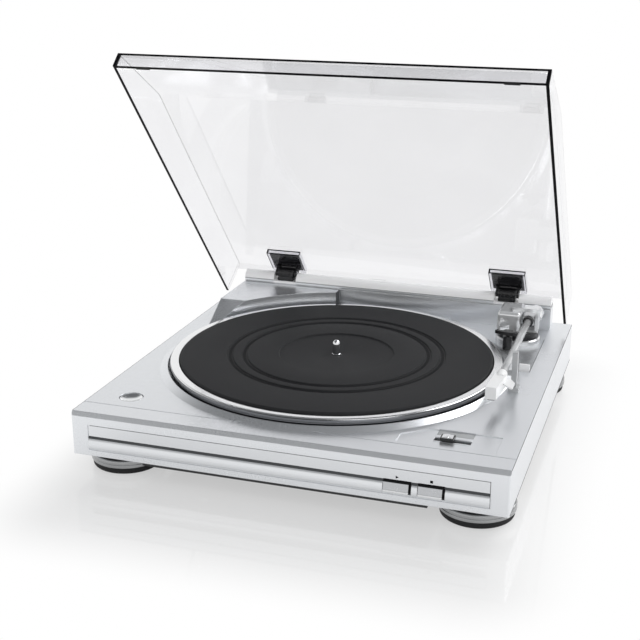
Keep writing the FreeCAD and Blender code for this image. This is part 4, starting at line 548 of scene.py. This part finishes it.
def clear_cover():
    """The clear cover with painted shade on its cut rim and on thin bevels along its edges: a dark finish in
    place of the light that its clear edges bend away.
    The bevels are widest on the rim, and the long edges that run across have none."""
    mesh = cover_shell()
    points = np.zeros(len(mesh.vertices) * 3)
    mesh.vertices.foreach_get("co", points)
    points = closed_place(points.reshape(-1, 3))
    # Flat faces low on the rim take the second material: painted shade on the cut rim.
    dark = np.zeros(len(mesh.polygons), int)
    for face in mesh.polygons:
        height = points[list(face.vertices), 2]
        dark[face.index] = np.ptp(height) < 0.2 and height.mean() < RIM_HEIGHT
    mesh.polygons.foreach_set("material_index", dark)
    item = linked("clear_cover", mesh)
    weight = mesh.attributes.new("bevel_weight_edge", "FLOAT", "EDGE")
    ends = np.array([edge.vertices[:] for edge in mesh.edges])
    first, second = points[ends[:, 0]], points[ends[:, 1]]
    on_rim = (first[:, 2] < RIM_HEIGHT) & (second[:, 2] < RIM_HEIGHT)
    across = np.abs(first[:, 0] - second[:, 0]) > LONG_EDGE
    share = np.where(on_rim, RIM_BEVEL, np.where(across, 0.0, EDGE_BEVEL))
    weight.data.foreach_set("value", share.astype(np.float32))
    # The bevels take the same dark material: painted shade along the edges.
    dark_bevel = item.modifiers.new("painted_dark_bevels", "BEVEL")
    dark_bevel.limit_method = "WEIGHT"
    dark_bevel.width = WIDEST_BEVEL
    dark_bevel.segments = 2
    dark_bevel.material = 1
    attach(item, "dust_cover_body")
    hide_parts("dust_cover")


def cover_corners():
    """Painted shade on the corners of the cover's low front wall, along its top and up both ends: dark bars
    where the clear corners look dark.
    """
    return joined([
        brick((-177.0, 177.0), (1.95, 3.2), (13.8, 15.05), 0.3, 0.2),
        brick((-177.1, -174.4), (1.9, 4.3), (1.0, 15.05), 0.4, 0.3),
        brick((174.4, 177.1), (1.9, 4.3), (1.0, 15.05), 0.4, 0.3),
    ])


clear_cover()
piece("cover_corners", opened(cover_corners()), "dust_cover_body", painted_dark_edge)


# Hinges

HINGE_SIDES = (-116.0, 116.0)


def socket_frame(middle):
    """The polished edges of a clear socket, painted dark as shade: bars round its front face and down its
    sides.
    """
    left, right, low, high, front = middle - 18.0, middle + 18.0, 33.8, 38.95, 316.05
    side = (front, 345.0)
    return joined([
        brick((left, right), (front, front + 0.9), (high - 0.9, high)),
        brick((left, right), (front, front + 0.9), (low, low + 0.8)),
        brick((left, left + 1.5), (front, front + 1.2), (low, high)),
        brick((right - 0.9, right), (front, front + 0.9), (low, high)),
        brick((left, left + 0.5), side, (low, low + 0.5), 0.1, 0.05),
        brick((right - 0.5, right), side, (low, low + 0.5), 0.1, 0.05),
    ])


def ribbed_leaf(middle):
    """A hinge leaf: its under side, in y and z, is a row of round ribs across a flat plate, and
    two knuckles hang from it round the pin."""
    front, back, rib_width = 320.3, 345.7, 5.08
    y = np.linspace(front, back, 61)
    ribs = 35.1 + 0.9 * np.abs(np.sin((y - front) * np.pi / rib_width)) ** 0.6
    under = np.column_stack([y, ribs])
    top = np.array([[346.0, 37.2], [345.8, 37.4], [320.2, 37.4], [320.0, 37.2]])
    plate = bar(np.concatenate([under, top]), (middle - 15.5, middle + 15.5))
    knuckles = []
    for side in (-1, 1):
        ring = turned((0, 0), softened([(2.1, -1.25), (4.0, -1.25), (4.0, 1.25), (2.1, 1.25)], 0.3, 3),
                      40, wrap=True)
        place = (middle + side * 10.25, *LID_HINGE)
        knuckles += [lying(ring, (2, 0, 1), place),
                     brick((place[0] - 1.25, place[0] + 1.25), (338.5, 345.5), (30.5, 35.6))]
    return joined([plate] + knuckles)


def hinge_block(middle):
    """A hinge base: a ridged barrel round the pin on a soft-edged foot in the rail's gap."""
    ridges = [(2.1, -8.6), (5.0, -8.6), (5.7, -7.9), (5.7, -5.6), (5.1, -5.1), (5.1, -4.5), (6.0, -4.0),
              (6.0, -0.7), (5.4, -0.3), (5.4, 0.3), (6.0, 0.7), (6.0, 4.0), (5.1, 4.5), (5.1, 5.1),
              (5.7, 5.6), (5.7, 7.9), (5.0, 8.6), (2.1, 8.6)]
    barrel = lying(turned((0, 0), softened(ridges, 0.3, 3), 56, wrap=True), (2, 0, 1), (middle, *LID_HINGE))
    return joined([
        barrel,
        brick((middle - 8.6, middle + 8.6), (336.0, 348.0), (21.0, 25.0), 1.2, 0.8),
        brick((middle - 7.2, middle + 7.2), (336.4, 347.6), (24.0, 28.0), 1.2, 0.8),
    ])


piece("socket_edges", opened(made_at(HINGE_SIDES, socket_frame)), "dust_cover_body",
      painted_dark_edge)
piece("ribbed_leaves", opened(made_at(HINGE_SIDES, ribbed_leaf)), "dust_cover_body",
      black_moulding, ["hinge_leaves"])
piece("hinge_blocks", made_at(HINGE_SIDES, hinge_block), "root", black_gloss,
      ["hinge_bases"])


# Rail

RAIL_RUNS = [(-160.0, -128.2), (-103.8, 103.8), (128.2, 160.0)]


def rail_strip(y, z, run, edge=0.1):
    """A strip along one run of the rail."""
    return brick(run, y, z, 0.2, edge)


# A grey strip along the rail where its crown meets the band: painted shade in the groove there.
piece("rail_line", joined([rail_strip((334.05, 334.7), (20.9, 21.9), run) for run in RAIL_RUNS]),
      "root", grey_moulding)
piece("rail_band", joined([rail_strip((334.12, 349.88), (18.8, 21.02), run, 0.3) for run in RAIL_RUNS]),
      "root", silver_paint)


piece("hump_joint", brick((-56.5, -55.85), (323.5, 332.9), (0.3, 17.9), 0.2, 0.1), "root",
      seam_and_painted_shade_grey)


def deck_edges():
    """Thin lines along the deck's two side edges and over the case's lower side edges, and one
    short line in the deck beside the arm. The lines over the lower side edges are painted shade along the
    seam there."""
    low = 1000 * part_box("top_case")[0].z - DECK
    sides = [sorted((side * 179.75, side * 180.06)) for side in (-1, 1)]
    return joined([brick(x, (2.5, 349.0), z, 0.05, 0.02) for x in sides
                   for z in ((-0.35, 0.03), (low, low + 0.8))] +
                  [brick((160.3, 160.8), (205.0, 296.0), (-0.3, 0.03), 0.1, 0.02)])


piece("deck_edges", deck_edges(), "root", seam_and_painted_shade_grey)


# Front

WINDOWS = [(83.6, 105.7), (110.6, 131.5)]
BAR_RUNS = [(-165.3, 83.5), (105.8, 110.5), (131.6, 165.3)]


def front_bar():
    """The bulged bar below the groove: an outline in y and z, steep at its top and upright in its
    middle, carried along x and left open at the two buttons, with its lip running under them."""
    section = softened([(0.5, -22.2), (0.35, -22.3), (-0.9, -24.2), (-1.35, -26.6), (-1.45, -29.2),
                        (-1.2, -30.4), (-0.2, -31.0), (0.5, -31.0)],
                       [0.05, 0.2, 1.4, 1.4, 0.9, 0.6, 0.3, 0.1], 5)
    lip = softened([(0.5, -29.95), (-1.2, -29.95), (-1.3, -30.3), (-0.2, -31.0), (0.5, -31.0)],
                   [0.1, 0.2, 0.4, 0.3, 0.1], 4)
    return joined([bar(section, run) for run in BAR_RUNS] + [bar(lip, run) for run in WINDOWS])


def panel_lines():
    """Painted shade: dark strips in the gap over the front panel and at its right end, and on the floor of
    its groove.
    """
    left, right, low, high, width, depth = -163.5, 165.5, -32.3, -10.3, 0.45, (0.02, 0.7)
    frame_bars = [
        brick((left, right), depth, (high - width, high), 0.1, 0.05),
        brick((right - width, right), depth, (low, high), 0.1, 0.05),
    ]
    return joined(frame_bars + [brick(run, (0.45, 1.6), (-22.3, -20.1), 0.1, 0.05) for run in BAR_RUNS])


def button_cap(x):
    """A button's cap, a sloped face on the stem and flange behind it. Its metal is darker than the bright
    lip below it: painted shade on the face.
    """
    face = softened([(0.2, -21.8), (-0.7, -21.8), (-1.1, -23.0), (-2.0, -26.2), (-2.6, -27.8),
                     (-2.6, -28.9), (-2.2, -29.35), (0.2, -29.35)],
                    [0.1, 0.3, 1.0, 0.9, 0.5, 0.4, 0.2, 0.1], 5)
    return joined([
        bar(face, (x[0] + 0.05, x[1] - 1.5)),
        brick((x[0] + 0.4, x[1] - 1.9), (0.0, 9.0), (-29.0, -22.1)),
        brick((x[0] - 1.3, x[1] + 1.3), (4.6, 6.0), (-30.7, -19.0)),
    ])


def button_skirt(x):
    """A black skirt that shows above a button's cap and to its right: painted shade of the button's recess.
    """
    return brick(x, (-0.5, 4.5), (-29.35, -20.3), 0.3, 0.2)


def button_lip(x):
    """The bright rounded lip along a cap's lower edge, in lighter chrome than the cap: a painted highlight.
    """
    return brick((x[0] + 0.02, x[1] - 1.47), (-2.75, -1.9), (-29.4, -27.7), 0.3, 0.3)


piece("front_bar", front_bar(), "root", panel_metal)
piece("panel_lines", panel_lines(), "root", seam_and_painted_shade_grey)
for button, ends in (("start", (84.0, 105.3)), ("stop", (111.0, 131.1))):
    body = button + "_button_body"
    piece(button + "_cap", button_cap(ends), body, shaded_button_metal, [button + "_button"])
    piece(button + "_lip", button_lip(ends), body, chrome)
    piece(button + "_skirt", button_skirt(ends), body, print_and_painted_shade_black)


def button_marks():
    """A triangle over the first button and a square over the second, a hair proud of the panel."""
    triangle = np.array([[93.4, -16.4], [93.4, -18.8], [95.7, -17.6]])
    square = np.array([[119.9, -18.6], [122.1, -18.6], [122.1, -16.4], [119.9, -16.4]])
    marks = []
    for outline in (triangle, square):
        loops = [np.column_stack([outline[:, 0], np.full(len(outline), y), outline[:, 1]])
                 for y in (0.62, 0.5)]
        marks.append(skin(loops))
    return joined(marks)


piece("button_marks", button_marks(), "root", print_and_painted_shade_black)


# Size selector

SELECTOR_ENDS = (113.05, 141.95)
FRONT_LEDGE, REAR_LEDGE, SLIT = (36.05, 38.2), (44.4, 48.9), (40.1, 42.9)
BED_FLOOR = -6.4


def selector_bed():
    """The selector's bed: two ledges along the channel that the knob runs in."""
    return joined([brick(SELECTOR_ENDS, y, (BED_FLOOR, -0.6)) for y in (REAR_LEDGE, FRONT_LEDGE)])


def selector_dark():
    """A dark floor in the channel, on both sides of its slit: painted shade in the deep narrow channel."""
    sides = ((FRONT_LEDGE[1], SLIT[0]), (SLIT[1], REAR_LEDGE[0]))
    return joined([brick(SELECTOR_ENDS, y, (-6.45, -3.0)) for y in sides])


def size_knob():
    """The knob's dark block with its stem and foot below the deck. The block is black as painted shade, for
    the dark reflections on the sides of a chrome knob.
    """
    return joined([
        brick((118.0, 129.0), (36.6, 46.4), (0.0, 2.3), 0.8, 0.3),
        brick((121.5, 125.5), (40.5, 42.5), (-9.5, 0.5), 0.2),
        brick((118.0, 129.0), (36.5, 46.5), (-10.8, -9.3), 0.5),
    ])


piece("selector_bed", selector_bed(), "root", silver_paint)
piece("selector_step", brick(SELECTOR_ENDS, (REAR_LEDGE[1], 58.95), (BED_FLOOR, -1.1)), "root",
      grey_moulding)
piece("selector_channel", selector_dark(), "root", print_and_painted_shade_black)
piece("size_knob", size_knob(), "size_lever_body", black_moulding, ["size_lever"])
piece("size_knob_top", joined([brick((119.2, 127.8), (37.9, 45.2), (2.2, 2.7), 0.6, 0.2),
                               brick((122.6, 124.4), (37.9, 45.2), (2.6, 3.3), 0.4, 0.3)]),
      "size_lever_body", chrome)


# Speed button

SPEED_BUTTON = (-146.9, 42.7)


def speed_cap():
    """The round speed button: a dished top inside a rounded rim, on its stem."""
    profile = [(0.01, -2.3), (4.2, -2.0), (7.4, -1.1), (8.7, -0.45), (9.3, -0.3), (9.75, -0.8), (9.75, -4.5),
               (2.6, -4.5), (2.6, -13.7), (0.01, -13.7)]
    radius = [0.1, 1.5, 1.5, 0.5, 0.4, 0.4, 0.5, 0.5, 0.3, 0.1]
    return turned(SPEED_BUTTON, softened(profile, radius, 4, closed=False), 96)


piece("speed_cap", speed_cap(), "speed_button_body", chrome, ["speed_button"])


# Tonearm

TUBE_REAR = np.array([144.71, 326.0, 18.66])
TUBE_FRONT = np.array([147.39, 134.0, 21.0])


def arm_tube():
    """A drawn tube with a pressed bead behind the headshell."""
    length = float(np.linalg.norm(TUBE_FRONT - TUBE_REAR))
    profile = [(0.01, 0), (3.0, 0), (3.15, 0.3), (3.15, length - 9), (3.4, length - 8.6),
               (3.4, length - 7.4), (3.15, length - 7), (3.15, length - 0.2), (2.9, length), (0.01, length)]
    return along(turned((0, 0), profile, 48), TUBE_REAR, TUBE_FRONT)


piece("drawn_tube", arm_tube(), "tonearm_body", tube_metal, ["arm_tube"])


def housing_seam():
    """A thin grey line round the pivot housing, where its skirt begins."""
    return stacked(rectangle(22.75, 35.15, 3.5, (127.3, 302.5)), [(0, 12.0), (0, 12.45)])


piece("housing_seam", housing_seam(), "arm_base_body", grey_moulding)


# Feet

def foot_shell(middle):
    """A foot's silver band with a turned groove, and its neck up to the case."""
    profile = [(2.8, -50), (29.6, -50), (30.5, -49.2), (30.5, -47.0), (30.1, -46.7), (30.5, -46.4),
               (30.5, -43.9), (29.6, -43), (22.4, -43), (22, -42.4), (22, -37.35), (2.8, -37.35)]
    radius = [0.2, 0.6, 0.6, 0.15, 0.15, 0.15, 0.6, 0.6, 0.5, 0.5, 0.2, 0.2]
    return turned(middle, softened(profile, radius, 3), 96, wrap=True)


def foot_pad(middle):
    """A foot's rubber pad with a rounded lower edge."""
    profile = [(6.2, -55.45), (27.6, -55.45), (29.2, -54.2), (29.2, -50.05), (6.2, -50.05)]
    return turned(middle, softened(profile, [0.3, 1.2, 1.2, 0.3, 0.3], 4), 96, wrap=True)


def foot_neck(middle):
    """The black neck and shoulder between a foot's band and the case."""
    profile = [(22.05, -43.1), (29.2, -43.1), (28.9, -42.7), (23.2, -42.2), (22.8, -41.4), (22.8, -37.4),
               (22.05, -37.4)]
    return turned(middle, softened(profile, 0.15, 3), 96, wrap=True)


FEET = [(x, y) for x in (-149.5, 149.5) for y in (37.0, 313.0)]
piece("foot_bands", made_at(FEET, foot_shell), "root", foot_paint, ["foot_shells"])
piece("foot_necks", made_at(FEET, foot_neck), "root", under_moulding)
piece("foot_rubbers", made_at(FEET, foot_pad), "root", pad_rubber, ["foot_pads"])


# Spindle

def spindle():
    """The spindle with a domed tip and a turned shoulder at the mat."""
    dome = np.linspace(0, np.pi / 2, 8)
    tip = np.column_stack([3.55 * np.cos(dome), 17.2 + 4.2 * np.sin(dome)])
    profile = np.concatenate([[(0.01, -24.9), (3.9, -24.9), (3.95, 8.6), (3.6, 8.9)], tip])
    profile[-1, 0] = 0.01
    return turned(PLATTER, profile, 64)


piece("domed_spindle", spindle(), "platter_body", polished_steel, ["spindle_shaft"])


# Stage

# Lengths from here on are metres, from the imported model's own origin.
def floor_finish():
    """A white glossy table. Away from the object its look fades to pure white, for the rays that
    show it and not for those that light the object."""
    material, nodes, links, shader = new_finish("white_table")
    shader.inputs["Base Color"].default_value = (0.76, 0.76, 0.76, 1)
    shader.inputs["Roughness"].default_value = 0.05
    shader.inputs["Specular IOR Level"].default_value = 1.0
    middle, half_size, fade_length, least_white = (0.005, -0.03, 0.0), (0.155, 0.21, 1.0), 0.085, 0.5
    distance = nodes.new("ShaderNodeTexCoord").outputs["Object"]
    for operation, value in (("SUBTRACT", middle), ("ABSOLUTE", (0, 0, 0)), ("SUBTRACT", half_size),
                             ("MAXIMUM", (0, 0, 0)), ("LENGTH", (0, 0, 0))):
        distance = worked_out(nodes, links, operation, distance, value, kind="ShaderNodeVectorMath")
    fade = nodes.new("ShaderNodeMapRange")
    fade.interpolation_type = "SMOOTHSTEP"
    fade.inputs["From Max"].default_value = fade_length
    fade.inputs["To Min"].default_value = least_white
    links.new(distance, fade.inputs["Value"])
    rays = nodes.new("ShaderNodeLightPath").outputs
    shown = rays["Is Camera Ray"]
    for ray in ("Is Glossy Ray", "Is Transmission Ray"):
        shown = worked_out(nodes, links, "MAXIMUM", shown, rays[ray])
    share = worked_out(nodes, links, "MULTIPLY", fade.outputs["Result"], shown)
    white = nodes.new("ShaderNodeEmission")
    mix = nodes.new("ShaderNodeMixShader")
    links.new(share, mix.inputs["Fac"])
    links.new(shader.outputs[0], mix.inputs[1])
    links.new(white.outputs[0], mix.inputs[2])
    links.new(mix.outputs[0], nodes["Material Output"].inputs["Surface"])
    return material


TABLE_RADIUS = 12.0


def stage():
    """A round table top under the feet."""
    edge = circle(TABLE_RADIUS, count=96)
    mesh = bpy.data.meshes.new("table_top")
    mesh.from_pydata([(x, y, 0.0) for x, y in edge.tolist()], [], [tuple(range(len(edge)))])
    mesh.materials.append(floor_finish())
    linked("table_top", mesh)


def sky():
    """A room with white walls and a dark ceiling, the same for every ray."""
    world = bpy.data.worlds.new("studio")
    bpy.context.scene.world = world
    world.use_nodes = True
    nodes, links = world.node_tree.nodes, world.node_tree.links
    place = nodes.new("ShaderNodeTexCoord")
    split = nodes.new("ShaderNodeSeparateXYZ")
    ramp = nodes.new("ShaderNodeValToRGB")
    ramp.color_ramp.interpolation = "EASE"
    ramp.color_ramp.elements[0].position = 0.40
    ramp.color_ramp.elements[0].color = (1, 1, 1, 1)
    ramp.color_ramp.elements[1].position = 0.70
    ramp.color_ramp.elements[1].color = (0.16, 0.165, 0.17, 1)
    links.new(place.outputs["Generated"], split.inputs[0])
    links.new(split.outputs["Z"], ramp.inputs["Fac"])
    links.new(ramp.outputs["Color"], nodes["Background"].inputs["Color"])


def lamp(name, place, aim, size, power):
    """A rectangular soft lamp at a place, turned to its aim."""
    data = bpy.data.lights.new(name, "AREA")
    data.shape = "RECTANGLE"
    data.size, data.size_y = size
    data.energy = power
    item = linked(name, data)
    item.location = place
    direction = np.array(aim, float) - np.array(place, float)
    item.rotation_euler = Vector(direction).to_track_quat("-Z", "Y").to_euler()


stage()
sky()
lamp("back_lamp", (1.0, 0.95, 1.35), (0, 0, 0.05), (1.4, 1.0), 22.0)
lamp("front_lamp", (0.95, -1.05, 1.5), (0, 0.05, 0.08), (1.2, 1.2), 7.5)

camera = linked("camera", bpy.data.cameras.new("camera"))
camera.location = (0.29527, -0.96815, 0.43529)
camera.rotation_euler = (math.radians(71.45), 0, math.radians(18.33))
camera.data.lens = 67.25
camera.data.clip_start = 0.01
bpy.context.scene.camera = camera
bpy.context.scene.view_settings.view_transform = "Standard"
